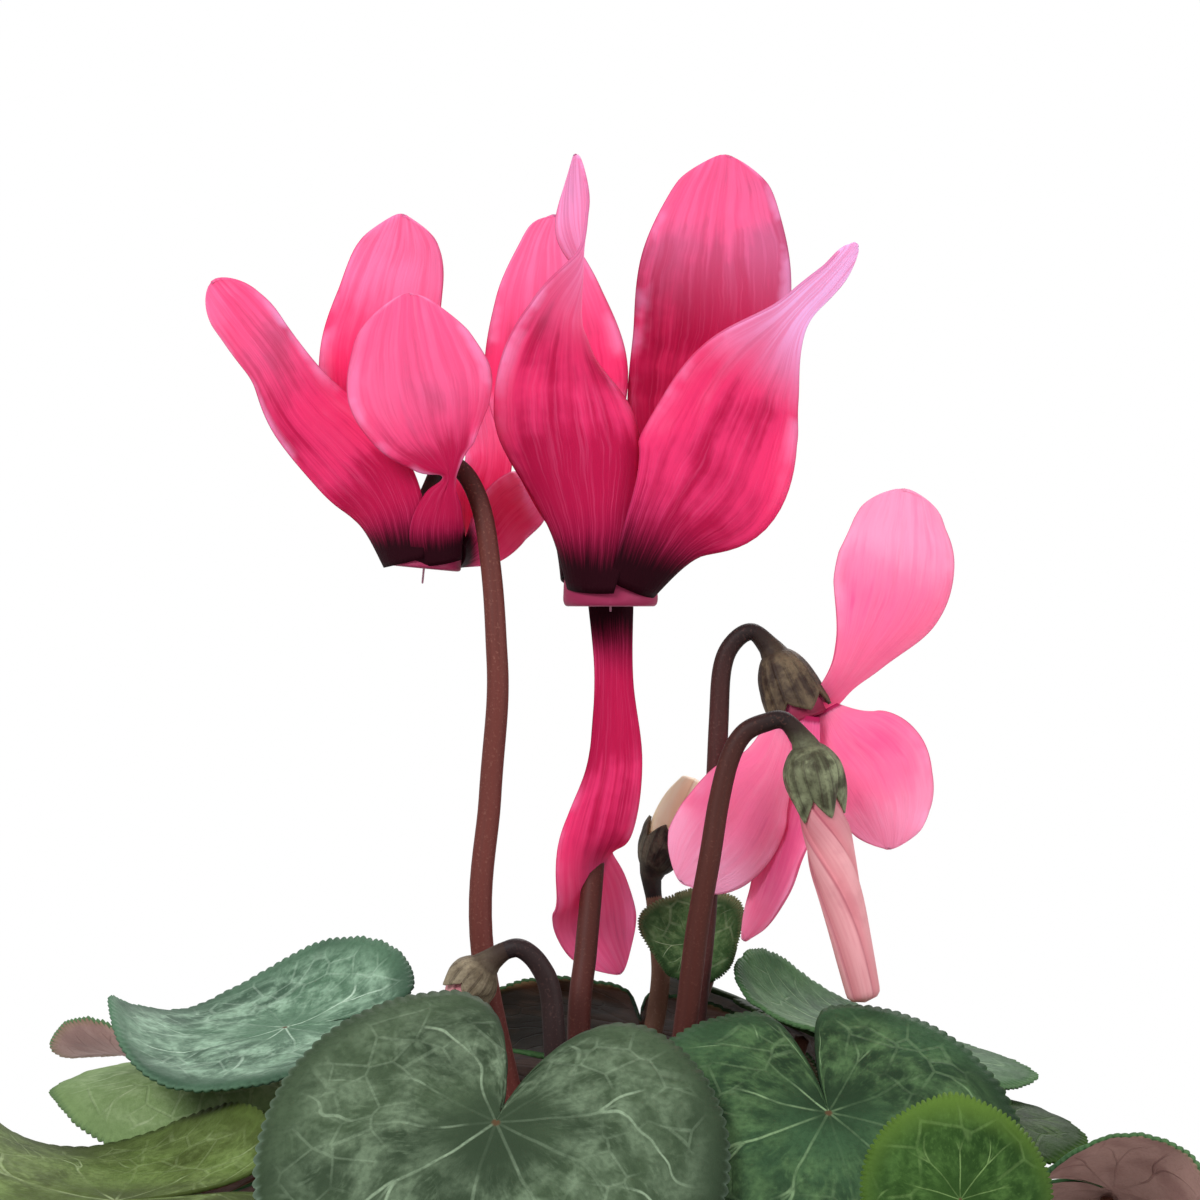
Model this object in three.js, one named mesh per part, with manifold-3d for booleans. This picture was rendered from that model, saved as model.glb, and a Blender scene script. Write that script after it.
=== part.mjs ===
// A florist's cyclamen in a plain nursery pot, in millimetres, +Z up.
// The origin is the centre of the pot's base on the surface that it stands on.
// +X is to the right and -Y is the side that the plant is seen from.
import * as THREE from "three";
import { mergeVertices } from "three/addons/utils/BufferGeometryUtils.js";
import Module from "manifold-3d";

const wasm = await Module();
wasm.setup();

// Driving dimensions
const POT_HEIGHT = 105;
const POT_RIM_RADIUS = 62.5;
const POT_FOOT_RADIUS = 43;
const POT_WALL = 1.8;
const POT_BAND_HEIGHT = 17;
const POT_BAND_STEP = 2.6;
const DRAIN_HOLE_RADIUS = 4;
const DRAIN_HOLE_CIRCLE = 28;
const DRAIN_HOLE_COUNT = 6;
const SOIL_TOP = 95;
const TUBER_RADIUS = 22;
const TUBER_TOP = 103;
const TUBER_BOTTOM = 86;
const SOCKET_FLOOR = 100.2;
const SOCKET_CLEARANCE = 0.6;
const GAP = 0.3;

const STALK_LOW_RADIUS = 1.75;
const STALK_HIGH_RADIUS = 1.2;
const STALK_SIDES = 6;
const LEAF_STALK_LOW_RADIUS = 1.5;
const LEAF_STALK_HIGH_RADIUS = 1.15;
const LEAF_STALK_SIDES = 5;
const LEAF_STALK_STEPS = 6;
const LEAF_STALK_ROOT = 11;

const LEAF_THICKNESS = 0.7;
const LEAF_RIM_POINTS = 32;
const LEAF_TOOTH = 0.05;
const SETTLE_STEP = 1.5;
const SETTLE_FURTHEST = 15;
const PETAL_THICKNESS = 0.7;
const CALYX_THICKNESS = 0.8;
const TUBE_WALL = 0.8;
const LIP = 0.7;
const ROUND_POINTS = 15;
const POT_SIDES = 30;
const SOIL_SIDES = 24;
const TUBER_SIDES = 18;
const HOLE_SIDES = 8;
const STAMEN_SIDES = 8;

const COLOURS = {
  petal: [0xe8407a, 0.55],
  paler_petal: [0xff86b8, 0.55],
  bud_petal: [0xe9a3a6, 0.6],
  cream_petal: [0xf0e2c4, 0.6],
  flower_stalk: [0x6b3a38, 0.5],
  calyx: [0x6f6a52, 0.7],
  stamen: [0xe4c25a, 0.7],
  leaf: [0x4a6655, 0.5],
  young_leaf: [0x6e9a2e, 0.5],
  leaf_stalk: [0x7d4a44, 0.5],
  soil: [0x3a2a20, 1.0],
  pot: [0xa4512f, 0.75],
};

// Small helpers
const degrees = (value) => (value * Math.PI) / 180;
const vector = (values) => new THREE.Vector3(...values);
const mix = (from, to, share) => from + (to - from) * share;

function material(name) {
  const [color, roughness] = COLOURS[name];
  return new THREE.MeshStandardMaterial({ name, color, roughness, metalness: 0 });
}

function mesh(name, geometry, colour) {
  const made = new THREE.Mesh(geometry, material(colour));
  made.name = name;
  return made;
}

// A closed geometry as a solid for joining and cutting, and back again.
function solidFrom(geometry) {
  const bare = geometry.clone();
  bare.deleteAttribute("normal");
  bare.deleteAttribute("uv");
  const merged = mergeVertices(bare, 1e-3);
  return new wasm.Manifold(
    new wasm.Mesh({
      numProp: 3,
      vertProperties: new Float32Array(merged.attributes.position.array),
      triVerts: new Uint32Array(merged.index.array),
    }),
  );
}

function geometryFrom(solid) {
  const made = solid.getMesh();
  const geometry = new THREE.BufferGeometry();
  geometry.setAttribute("position", new THREE.BufferAttribute(made.vertProperties, 3));
  geometry.setIndex(new THREE.BufferAttribute(made.triVerts, 1));
  return geometry;
}

// A value on the smooth line through rows of numbers, with equal steps between the rows.
function smoothRow(rows, t) {
  const last = rows.length - 1;
  const place = THREE.MathUtils.clamp(t, 0, 1) * last;
  const start = Math.min(Math.floor(place), last - 1);
  const f = place - start;
  const p1 = rows[start];
  const p2 = rows[start + 1];
  const p0 = rows[start - 1] ?? p1.map((value, i) => 2 * value - p2[i]);
  const p3 = rows[start + 2] ?? p2.map((value, i) => 2 * value - p1[i]);
  return p1.map((value, i) => {
    const square = 2 * p0[i] - 5 * value + 4 * p2[i] - p3[i];
    const cube = 3 * value - p0[i] - 3 * p2[i] + p3[i];
    return 0.5 * (2 * value + (p2[i] - p0[i]) * f + square * f * f + cube * f * f * f);
  });
}

// Blades: a thin middle surface given half its thickness to each side, both faces split alike.
function bladeGeometry(points, triangles, rim, thickness) {
  const normals = points.map(() => new THREE.Vector3());
  for (const [a, b, c] of triangles) {
    const face = points[b].clone().sub(points[a]).cross(points[c].clone().sub(points[a]));
    for (const corner of [a, b, c]) normals[corner].add(face);
  }
  const positions = [];
  for (const side of [0.5, -0.5]) {
    points.forEach((point, i) => {
      const moved = point.clone().addScaledVector(normals[i].normalize(), side * thickness);
      positions.push(moved.x, moved.y, moved.z);
    });
  }
  const under = points.length;
  const index = [];
  for (const [a, b, c] of triangles) {
    index.push(a, b, c, under + a, under + c, under + b);
  }
  rim.forEach((a, i) => {
    const b = rim[(i + 1) % rim.length];
    index.push(b, a, under + a, b, under + a, under + b);
  });
  const geometry = new THREE.BufferGeometry();
  geometry.setAttribute("position", new THREE.Float32BufferAttribute(positions, 3));
  geometry.setIndex(index);
  return geometry;
}

// A round blade from a centre point and rings. A ring has as many points as the one inside it, or twice as many.
function roundBlade(ringSizes, pointAt, thickness) {
  const points = [pointAt(0, 0)];
  const triangles = [];
  let inner = null;
  ringSizes.forEach((size, ring) => {
    const first = points.length;
    for (let i = 0; i < size; i += 1) {
      points.push(pointAt((ring + 1) / ringSizes.length, i / size));
    }
    const at = (i) => first + (i % size);
    for (let i = 0; i < (inner ? inner.size : size); i += 1) {
      if (!inner) {
        triangles.push([0, at(i), at(i + 1)]);
      } else {
        const from = inner.at(i);
        const next = inner.at(i + 1);
        if (inner.size === size) {
          triangles.push([from, at(i), at(i + 1)], [from, at(i + 1), next]);
        } else {
          triangles.push([from, at(2 * i), at(2 * i + 1)], [from, at(2 * i + 1), next]);
          triangles.push([next, at(2 * i + 1), at(2 * i + 2)]);
        }
      }
    }
    inner = { size, at };
  });
  const rimSize = ringSizes[ringSizes.length - 1];
  const rim = Array.from({ length: rimSize }, (_, i) => points.length - rimSize + i);
  return bladeGeometry(points, triangles, rim, thickness);
}

// A tapering round stalk along a smooth line through points, with its steps shared out evenly between them.
function stalkGeometry(points, lowRadius, highRadius, sides, steps) {
  const curve = new THREE.CatmullRomCurve3(points, false, "catmullrom", 0.5);
  const rings = [];
  let normal = new THREE.Vector3(1, 0, 0);
  for (let step = 0; step <= steps; step += 1) {
    const along = curve.getTangent(step / steps);
    normal = normal.clone().addScaledVector(along, -normal.dot(along)).normalize();
    rings.push({ place: curve.getPoint(step / steps), normal, binormal: along.clone().cross(normal) });
  }
  const geometry = new THREE.CylinderGeometry(1, 1, 1, sides, steps);
  const position = geometry.attributes.position;
  for (let i = 0; i < position.count; i += 1) {
    const share = position.getY(i) + 0.5;
    const ring = rings[Math.round(share * steps)];
    const radius = mix(lowRadius, highRadius, share);
    const spot = ring.place.clone();
    spot.addScaledVector(ring.normal, position.getX(i) * radius);
    spot.addScaledVector(ring.binormal, -position.getZ(i) * radius);
    position.setXYZ(i, spot.x, spot.y, spot.z);
  }
  return geometry;
}

// Petals: rows of x, y, z from the middle of the flower's mouth, half width, roll and cupping in degrees.
const PETAL_ROWS = 8;
const PETAL_COLUMNS = 3;
const VIEW_LINE = new THREE.Vector3(0, 1, 0);

function petalPoint(rows, mouth, t, across) {
  const [x, y, z, halfWidth, roll, cupping] = smoothRow(rows, t);
  const ahead = vector(smoothRow(rows, Math.min(t + 1e-3, 1)).slice(0, 3));
  const behind = vector(smoothRow(rows, Math.max(t - 1e-3, 0)).slice(0, 3));
  const along = ahead.sub(behind).normalize();
  const side = VIEW_LINE.clone().cross(along).normalize();
  const face = side.clone().cross(along);
  side.applyAxisAngle(along, degrees(roll));
  face.applyAxisAngle(along, degrees(roll));
  const bend = Math.max(degrees(cupping), 0.01);
  const reach = (halfWidth * Math.sin(bend * across)) / bend;
  const depth = (-halfWidth * (1 - Math.cos(bend * across))) / bend;
  return vector([x, y, z])
    .add(mouth)
    .addScaledVector(side, reach)
    .addScaledVector(face, depth);
}

function petalSolid(rows, mouth) {
  const points = [];
  const triangles = [];
  const wide = PETAL_COLUMNS + 1;
  for (let row = 0; row <= PETAL_ROWS; row += 1) {
    for (let column = 0; column < wide; column += 1) {
      points.push(petalPoint(rows, mouth, row / PETAL_ROWS, (2 * column) / PETAL_COLUMNS - 1));
    }
  }
  for (let row = 0; row < PETAL_ROWS; row += 1) {
    for (let column = 0; column < PETAL_COLUMNS; column += 1) {
      const a = row * wide + column;
      triangles.push([a, a + 1, a + wide + 1], [a, a + wide + 1, a + wide]);
    }
  }
  const rim = [];
  for (let column = 0; column < PETAL_COLUMNS; column += 1) rim.push(column);
  for (let row = 0; row < PETAL_ROWS; row += 1) rim.push(row * wide + PETAL_COLUMNS);
  for (let column = PETAL_COLUMNS; column > 0; column -= 1) rim.push(PETAL_ROWS * wide + column);
  for (let row = PETAL_ROWS; row > 0; row -= 1) rim.push(row * wide);
  return solidFrom(bladeGeometry(points, triangles, rim, PETAL_THICKNESS));
}

// The domed tube of a flower, from its top on the axis (0) down to its mouth (90 degrees).
function domePoint(dome, angle, outward) {
  const radius = dome.radius * Math.sin(degrees(angle)) ** 0.8;
  const height = dome.length * Math.cos(degrees(angle));
  return [radius + outward * Math.sin(degrees(angle)), height + outward * Math.cos(degrees(angle))];
}

function placedOnAxis(geometry, mouth, axis) {
  const turn = new THREE.Quaternion().setFromUnitVectors(new THREE.Vector3(0, 0, 1), axis);
  return geometry.applyQuaternion(turn).translate(mouth.x, mouth.y, mouth.z);
}

// A turned solid about +Z from a profile of radius and height.
function turned(profile, sides) {
  const points = profile.map(([radius, height]) => new THREE.Vector2(radius, height));
  return new THREE.LatheGeometry(points, sides).rotateX(Math.PI / 2);
}

const DOME_ANGLES = [0, 25, 48, 70, 90];

// The petals turn back over a rounded lip round the mouth.
function tubeSolid(flower) {
  const outside = DOME_ANGLES.slice(0, -1).map((angle) => domePoint(flower, angle, 0));
  const inside = [0, 45, 90].map((angle) => domePoint(flower, angle, -TUBE_WALL));
  const lip = [
    [flower.radius + LIP, -LIP * 0.6],
    [flower.radius + LIP, LIP],
    [flower.radius, 2.4 * LIP],
  ];
  const profile = [...inside, ...lip, ...outside.reverse()];
  profile[0][0] = 0;
  profile[profile.length - 1][0] = 0;
  return solidFrom(placedOnAxis(turned(profile, ROUND_POINTS), flower.mouth, flower.axis));
}

function corolla(flower) {
  const petals = Object.values(flower.petals).map((rows) => petalSolid(rows, flower.mouth));
  return geometryFrom(petals.reduce((whole, petal) => whole.add(petal), tubeSolid(flower)));
}

// A calyx of five pointed sepals that hugs a dome as far down as the given angle.
const SEPAL_LENGTHS = [1, 0.72, 0.72];
const CALYX_RINGS = 3;

function calyx(dome, reach) {
  const offset = GAP + CALYX_THICKNESS / 2;
  const pointAt = (share, turn) => {
    const corner = Math.round(turn * ROUND_POINTS) % SEPAL_LENGTHS.length;
    const angle = share * reach * mix(1, SEPAL_LENGTHS[corner], share);
    const [radius, height] = domePoint(dome, angle, offset);
    return vector([radius * Math.cos(turn * 2 * Math.PI), radius * Math.sin(turn * 2 * Math.PI), height]);
  };
  return placedOnAxis(
    roundBlade(Array(CALYX_RINGS).fill(ROUND_POINTS), pointAt, CALYX_THICKNESS),
    dome.mouth,
    dome.axis,
  );
}

// The cone of anthers hangs in the tube, and the style stands out of the mouth.
function stamens(flower) {
  const top = flower.length - TUBE_WALL - GAP;
  const cone = flower.radius * 0.36;
  const profile = [
    [0, -1.6],
    [0.35, -1.5],
    [0.4, top * 0.3],
    [cone, top * 0.62],
    [cone * 0.8, top * 0.8],
    [0, top * 0.985],
  ];
  return placedOnAxis(turned(profile, STAMEN_SIDES), flower.mouth, flower.axis);
}

// Where a flower's or bud's stalk ends, just above its calyx.
function stalkPoints(rows, dome) {
  const top = dome.length + 2 * GAP + CALYX_THICKNESS;
  const end = dome.mouth.clone().addScaledVector(dome.axis, top);
  return [...rows.map(vector), end];
}

const FLOWERS = {
  left: {
    mouth: vector([-25, -2, 227]),
    axis: vector([1, 0, 10.5]).normalize(),
    radius: 5.4,
    length: 9,
    sepals: 38,
    colour: "petal",
    petals: {
      left: [
        [-3.6, -4, 0, 3.6, -45, 36],
        [-5.5, -4.5, 8, 6.2, -30, 25],
        [-10, -4.5, 14.5, 7, -20, 20],
        [-17, -4, 21.5, 6.2, -20, 25],
        [-21.5, -3, 28.5, 5.2, -25, 35],
        [-26, -2, 34.5, 5, -25, 30],
        [-30, -1, 40, 3.6, -25, 0],
      ],
      back: [
        [-1, 5.2, 1, 3.6, 160, 36],
        [-4, 7, 11.5, 4.5, 90, 20],
        [-7, 8, 20.5, 7.6, 20, 15],
        [-7.5, 8, 30, 8.2, 5, 15],
        [-5.5, 8, 38.5, 7.6, 0, 10],
        [-4, 7, 45.5, 6.2, 0, 10],
        [-3.5, 6, 50.5, 2.6, 0, 0],
      ],
      front: [
        [2.6, -4.8, 0, 3.4, 14, 36],
        [3, -6.5, 5.5, 3.3, 10, 30],
        [5, -8.5, 11, 1.8, 30, 20],
        [3.5, -10, 15.5, 5.4, 10, 10],
        [0.5, -11, 20, 9.6, 0, 12],
        [0, -12, 25, 10.4, 0, 10],
        [-0.5, -12, 30.5, 8, 0, 5],
        [-1, -11, 37.5, 4, 0, 0],
      ],
      right_back: [
        [4.2, 3.6, 0.5, 3.4, 125, 36],
        [6.5, 10, 8, 5, 50, 20],
        [8.5, 17, 15, 3.6, 20, 10],
        [8, 20, 22, 3.6, 10, 5],
        [7, 21, 28, 1.5, 0, 0],
      ],
      right: [
        [5.4, 0, 0.5, 3.2, 80, 36],
        [9, 4, 4, 4.4, 40, 20],
        [12, 11, 8, 4.8, 20, 15],
        [14.5, 17, 10.5, 4.2, 10, 0],
        [17, 20, 12.5, 1.6, 0, 0],
      ],
    },
  },
  centre: {
    mouth: vector([1.5, 0, 223]),
    axis: vector([0, 0, 1]),
    radius: 6.9,
    length: 10.5,
    sepals: 38,
    colour: "petal",
    petals: {
      front_left: [
        [-3.5, -6, 0, 4.2, -36, 36],
        [-4, -8, 9, 7.2, -25, 45],
        [-5.5, -10, 20, 10.4, -5, 45],
        [-6.5, -10.5, 29.5, 9.8, 28, 30],
        [-6, -9.5, 38, 8.2, 60, 20],
        [-4, -8, 45.5, 7, 88, 10],
        [-5, -7.5, 52.5, 6.5, 112, 5],
        [-5, -7, 61.5, 4.5, 108, 0],
      ],
      front_right: [
        [3.5, -6, 0, 4.2, 36, 36],
        [8, -8, 8, 7, 30, 15],
        [13.6, -8, 15.5, 11.4, 15, 10],
        [17.5, -7, 25, 10.2, 12, 10],
        [21, -6, 31.5, 8.6, 30, 10],
        [25.5, -5, 38.5, 5.4, 60, 0],
        [30.5, -4, 44, 4.5, 66, 0],
        [35, -3, 49.3, 2.6, 62, 0],
      ],
      right_back: [
        [6.5, 2, 2, 4.2, 108, 36],
        [8.5, 6, 13, 6, 60, 20],
        [11.5, 9, 24, 9.5, 20, 20],
        [14.5, 11, 36.5, 11.4, 5, 20],
        [15.5, 11, 48, 11.2, 0, 15],
        [16.5, 10, 57.5, 8, 0, 10],
        [17, 9, 63.8, 4, 0, 0],
      ],
      left_back: [
        [-6.5, 2, 1.5, 4.2, -108, 36],
        [-8.5, 5, 12, 7, -70, 30],
        [-8, 8, 22.5, 10, -35, 20],
        [-8.3, 11, 34, 10.8, -8, 20],
        [-9, 13, 44.5, 7.8, 0, 15],
        [-9, 13, 51.5, 4.2, 0, 10],
        [-8, 12.5, 55.5, 2, 0, 0],
      ],
      back_hanging: [
        [0, 6.9, 0.4, 3.4, 0, 20],
        [0.5, 5, -12.5, 2.8, 0, 25],
        [0.5, 2.2, -24, 4.2, 10, 40],
        [-2, -0.8, -34.5, 5, 25, 45],
        [-9, 3, -42, 4.8, 80, 32],
        [-3, 9.8, -48.5, 5.4, 150, 30],
        [2, 9.5, -55.5, 2.4, 180, 10],
      ],
    },
  },
  right: {
    mouth: vector([29, 3, 205]),
    axis: vector([-3.5, 1, 8.5]).normalize(),
    radius: 3.9,
    length: 9.8,
    sepals: 66,
    colour: "paler_petal",
    petals: {
      top: [
        [1.2, 3.2, 0.3, 1.8, 0, 30],
        [5, 0, 4, 2.6, 40, 20],
        [8.5, -1.5, 9, 4.6, 30, 20],
        [12, -2, 16, 8, 8, 15],
        [13.5, -2, 22.5, 8.4, 0, 10],
        [14, -1.5, 28, 6.6, 0, 10],
        [14.5, -1, 32.8, 4.2, 0, 0],
      ],
      right: [
        [3.3, -0.8, 1.2, 2, 0, 30],
        [5.5, -2, -2.5, 6.2, 0, 20],
        [9, -3, -6.5, 8.8, 0, 15],
        [11, -3.5, -10.5, 8, 0, 10],
        [12, -3, -14.5, 6.2, 0, 10],
        [12.5, -2.5, -18.5, 2.6, 0, 0],
      ],
      bottom: [
        [0.4, -3.5, 0.5, 2, 0, 30],
        [-1, -3, -8.5, 3.4, 30, 15],
        [-2.5, -4, -16, 4, 40, 10],
        [-4, -4, -22, 3.6, 40, 0],
        [-6, -3.5, -27, 2.6, 40, 0],
        [-8.5, -3, -31.5, 1, 40, 0],
      ],
      left_front: [
        [-2.9, -2, -0.8, 2, 0, 30],
        [-5, -4, -6.5, 4, 0, 15],
        [-8, -5, -11, 6.6, 0, 12],
        [-11, -5, -16, 7.5, 0, 10],
        [-14.5, -4.5, -20, 6.4, 0, 5],
        [-17.5, -4, -23, 2.8, 0, 0],
      ],
      left_back: [
        [-2.6, 2.3, -1.2, 1.8, 0, 30],
        [-4, 3.5, -5.5, 3.4, 0, 15],
        [-6.5, 5, -10.5, 4.4, 10, 10],
        [-9, 5.5, -16, 4, 10, 5],
        [-11, 5.5, -19.5, 1.5, 10, 0],
      ],
    },
  },
};

// The buds: a rolled body below its calyx, given by the middle of its open end, its axis and its girth.
const BUDS = {
  twisted_bud: {
    mouth: vector([31.1, -12, 191]),
    axis: vector([-2.2, 0, 9.6]).normalize(),
    radius: 4.4,
    length: 10.6,
    bodyLength: 25.5,
    bodyRadii: [2.2, 3, 3.1, 2.9, 2.7, 2.4, 1.8],
    twist: 220,
    colour: "bud_petal",
  },
  small_bud: {
    mouth: vector([-19.3, -14, 167.5]),
    axis: vector([2.5, 0, 3]).normalize(),
    radius: 3.2,
    length: 5,
    bodyLength: 3.4,
    bodyRadii: [2.6, 2.6, 1.8, 0.8],
    twist: 30,
    colour: "bud_petal",
  },
  cream_bud: {
    mouth: vector([10.5, 23, 187]),
    axis: vector([-4.3, 0, -9]).normalize(),
    radius: 3,
    length: 6,
    bodyLength: 9,
    bodyRadii: [2.8, 3.4, 3.1, 1.8],
    twist: 60,
    colour: "cream_petal",
  },
};

// The petals of a bud lie rolled round each other, so that its body has five slanting ridges.
const BUD_RIDGE = 0.12;
const BUD_SIDES = 15;
const BUD_SEPALS = 88;

function budBody(bud) {
  const rows = bud.bodyRadii.length;
  const top = bud.length;
  const geometry = new THREE.CylinderGeometry(1, 1, 1, BUD_SIDES, rows).rotateX(Math.PI / 2);
  const position = geometry.attributes.position;
  const radii = [1.2, ...bud.bodyRadii].map((radius) => [radius]);
  for (let i = 0; i < position.count; i += 1) {
    const share = 0.5 - position.getZ(i);
    const angle = Math.atan2(position.getY(i), position.getX(i));
    const lean = degrees(bud.twist) * share;
    const ridge = 1 + BUD_RIDGE * share * Math.cos(5 * angle);
    const radius = smoothRow(radii, share)[0] * ridge * Math.hypot(position.getX(i), position.getY(i));
    position.setXYZ(
      i,
      radius * Math.cos(angle + lean),
      radius * Math.sin(angle + lean),
      mix(top - GAP, -bud.bodyLength, share),
    );
  }
  return placedOnAxis(geometry, bud.mouth, bud.axis);
}

// Stalks of the flowers and buds, from the tuber up over their arches
const STALK_ROWS = {
  left: [
    [-5, -2, 100.5],
    [-9, -4, 135],
    [-16.5, -6, 172],
    [-15.5, -6, 194],
    [-14.4, -7, 208],
    [-14.6, -7, 216.5],
    [-15.2, -6, 225],
    [-16.4, -5, 233.5],
    [-18.2, -4, 238.5],
    [-20.5, -3, 241],
    [-22.8, -2, 240.5],
  ],
  centre: [
    [1, 3, 100.5],
    [-1.5, 0, 130],
    [-3, -2, 159.5],
    [-2, 1, 172],
    [-1, 4, 183],
    [0, 7, 199],
    [1, 9, 213],
    [1.5, 10, 223.5],
    [2, 10, 232],
    [1.5, 8, 238],
    [1.5, 4, 240.5],
    [1.5, 1, 238.5],
  ],
  twisted_bud: [
    [4.5, -4, 100.5],
    [8, -7, 132],
    [12, -10, 163.5],
    [13.5, -11, 176],
    [15.2, -12, 186],
    [16.5, -12, 194],
    [18, -12, 200],
    [20, -12, 203.5],
    [23, -12, 205],
    [25.7, -12, 205.2],
  ],
  right: [
    [6.5, 3, 100.5],
    [10, 2, 130],
    [14.5, 2, 170.5],
    [15.5, 3, 181.5],
    [16.6, 4, 193],
    [17.1, 4, 204],
    [17.6, 4, 212],
    [19.2, 4, 215.8],
    [22, 4, 217.4],
  ],
  small_bud: [
    [-2, -7, 100.5],
    [-4, -11, 130],
    [-6, -14, 157.5],
    [-6.8, -14, 167.5],
    [-8.4, -14, 171.6],
    [-10.8, -14, 173.8],
    [-13, -14, 173.6],
  ],
  cream_bud: [
    [-2, 6.5, 100.5],
    [1.6, 11, 130],
    [8.4, 20, 160],
    [8.8, 22, 171],
  ],
};

const STALK_STEPS_PER_ROW = 1.4;

// Leaves: the point where the blade meets its stalk, the way its tip points (0 is to the viewer, 90 is +X),
// how far the blade tips down, its roll, its size from that point to the tip, its droop, its waves and curled edges.
// A curled edge has its direction from the midrib, its start in parts of the size, its radius and 1 up or -1 down.
const LEAVES = [
  { name: "leaf_front_left", at: [-13, -52, 156.5], heading: -22, pitch: 40, roll: -12, size: 32, notch: 15 },
  { name: "leaf_front_right", at: [29.2, -44, 156.3], heading: 12, pitch: 40, roll: 2, size: 28 },
  {
    name: "leaf_young_front",
    at: [42, -77, 152],
    heading: 180,
    pitch: -72,
    roll: 6,
    size: 12,
    wave: 0.04,
    by: [33, -62, 118],
    arrive: [3, 5],
    colour: "young_leaf",
  },
  {
    name: "leaf_young_behind",
    at: [13.8, 14, 171.5],
    heading: 175,
    pitch: -62,
    roll: 0,
    size: 7.8,
    wave: 0.05,
    arrive: [-3, 5],
    curls: [
      [70, 0.3, 4, 1],
      [-70, 0.3, 4, 1],
    ],
    colour: "young_leaf",
  },
  {
    name: "leaf_back_left",
    at: [-44.5, -4, 161.3],
    heading: -94,
    pitch: 6,
    roll: -8,
    size: 26,
    droop: 0,
    curls: [
      [-130, 0, 32, 1],
      [10, 0.45, 16, 1],
    ],
    arrive: [8, 4],
  },
  { name: "leaf_left", at: [-57, 0, 155.5], heading: -86, pitch: 3, roll: -5, size: 20, colour: "young_leaf" },
  {
    name: "leaf_curled_left",
    at: [-63.5, 37, 153.3],
    heading: -94,
    pitch: -2,
    roll: 0,
    size: 20.5,
    curls: [[55, 0.3, 11, 1]],
  },
  {
    name: "leaf_low_left",
    at: [-61.5, -47, 145.5],
    heading: -74,
    pitch: 0,
    roll: -5,
    size: 30.5,
    droop: -0.08,
    wave: -0.1,
    curls: [
      [-20, 0.3, 34, 1],
      [-155, 0.25, 14, 1],
      [125, 0.25, 14, -1],
    ],
  },
  {
    name: "leaf_back_right",
    at: [37.5, -1, 160],
    heading: 82,
    pitch: 16.5,
    roll: -1,
    size: 23.5,
    droop: -0.05,
    curls: [[135, 0.55, 16, -1]],
  },
  { name: "leaf_low_right", at: [44.5, -20, 155.8], heading: 78, pitch: 8, roll: 4, size: 21 },
  {
    name: "leaf_turned_right",
    at: [66.6, -38.5, 145.5],
    heading: 92,
    pitch: 24,
    roll: -36,
    size: 21,
    curls: [
      [0, 0, 12, -1],
      [180, 0.05, 16, -1],
    ],
  },
];

// The rest stands round in tiers, each leaf rolled a little over its neighbour like a shingle.
const TIERS = [
  { name: "leaf_back", radius: 42, height: 156, pitch: 24, size: 29, arrive: [5, 8], turns: [132, 171, 208] },
  {
    name: "leaf_middle",
    radius: 64,
    height: 130,
    pitch: 36,
    size: 30,
    arrive: [6, 6],
    turns: [-8, 106, 145, 184, 223, 262],
  },
  {
    name: "leaf_outer",
    radius: 76,
    height: 108,
    pitch: 52,
    size: 28,
    arrive: [10, -1],
    turns: [-66, -27, 12, 50, 88, 126, 164, 203, 243],
  },
];
const SHINGLE_ROLL = 9;

function tierLeaves(tier) {
  return tier.turns.map((turn, i) => ({
    name: `${tier.name}_${i + 1}`,
    at: [
      tier.radius * Math.sin(degrees(turn)),
      -tier.radius * Math.cos(degrees(turn)),
      tier.height + 2 * (i % 2),
    ],
    heading: turn + 10 * Math.sin(2.4 * i),
    pitch: tier.pitch + 5 * Math.cos(1.7 * i),
    roll: SHINGLE_ROLL,
    arrive: tier.arrive,
    size: tier.size + 1.5 * Math.sin(1.3 * i),
    wave: 0.035,
  }));
}

// The leaf's outline: a heart with a narrow notch behind, in parts of its size.
function leafReach(angle, notchWidth) {
  const fromNotch = 180 - Math.abs(angle);
  const body = 0.62 + 0.38 * Math.cos(degrees(angle / 2)) ** 0.6;
  const notch = 1 - 0.93 * Math.exp(-((fromNotch / notchWidth) ** 2));
  const tip = 0.04 * Math.exp(-((angle / 12) ** 2));
  return body * notch + tip;
}

// The leaf's own surface: forward along the midrib, to the right and up, in millimetres.
function leafSurface(leaf, share, angle) {
  const distance = share * leaf.size * leafReach(angle, leaf.notch ?? 6);
  let forward = distance * Math.cos(degrees(angle));
  let right = distance * Math.sin(degrees(angle));
  const part = distance / leaf.size;
  const droop = leaf.droop ?? 0.12;
  const waves = Math.sin(degrees(3 * angle + 60)) * part * part;
  let up = leaf.size * ((leaf.wave ?? 0.03) * waves - droop * part * part);
  for (const [direction, start, radius, side] of leaf.curls ?? []) {
    const cos = Math.cos(degrees(direction));
    const sin = Math.sin(degrees(direction));
    const past = forward * cos + right * sin - start * leaf.size;
    if (past > 0) {
      const turn = past / radius;
      const step = (radius - side * up) * Math.sin(turn) - past;
      forward += step * cos;
      right += step * sin;
      up = side * radius * (1 - Math.cos(turn)) + up * Math.cos(turn);
    }
  }
  return [forward, right, up];
}

function leafFrame(leaf) {
  const heading = degrees(leaf.heading);
  const pitch = degrees(leaf.pitch);
  const forward = vector([
    Math.sin(heading) * Math.cos(pitch),
    -Math.cos(heading) * Math.cos(pitch),
    -Math.sin(pitch),
  ]);
  const right = vector([Math.cos(heading), Math.sin(heading), 0]);
  right.applyAxisAngle(forward, degrees(leaf.roll));
  const up = forward.clone().cross(right);
  return { forward, right, up };
}

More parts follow.
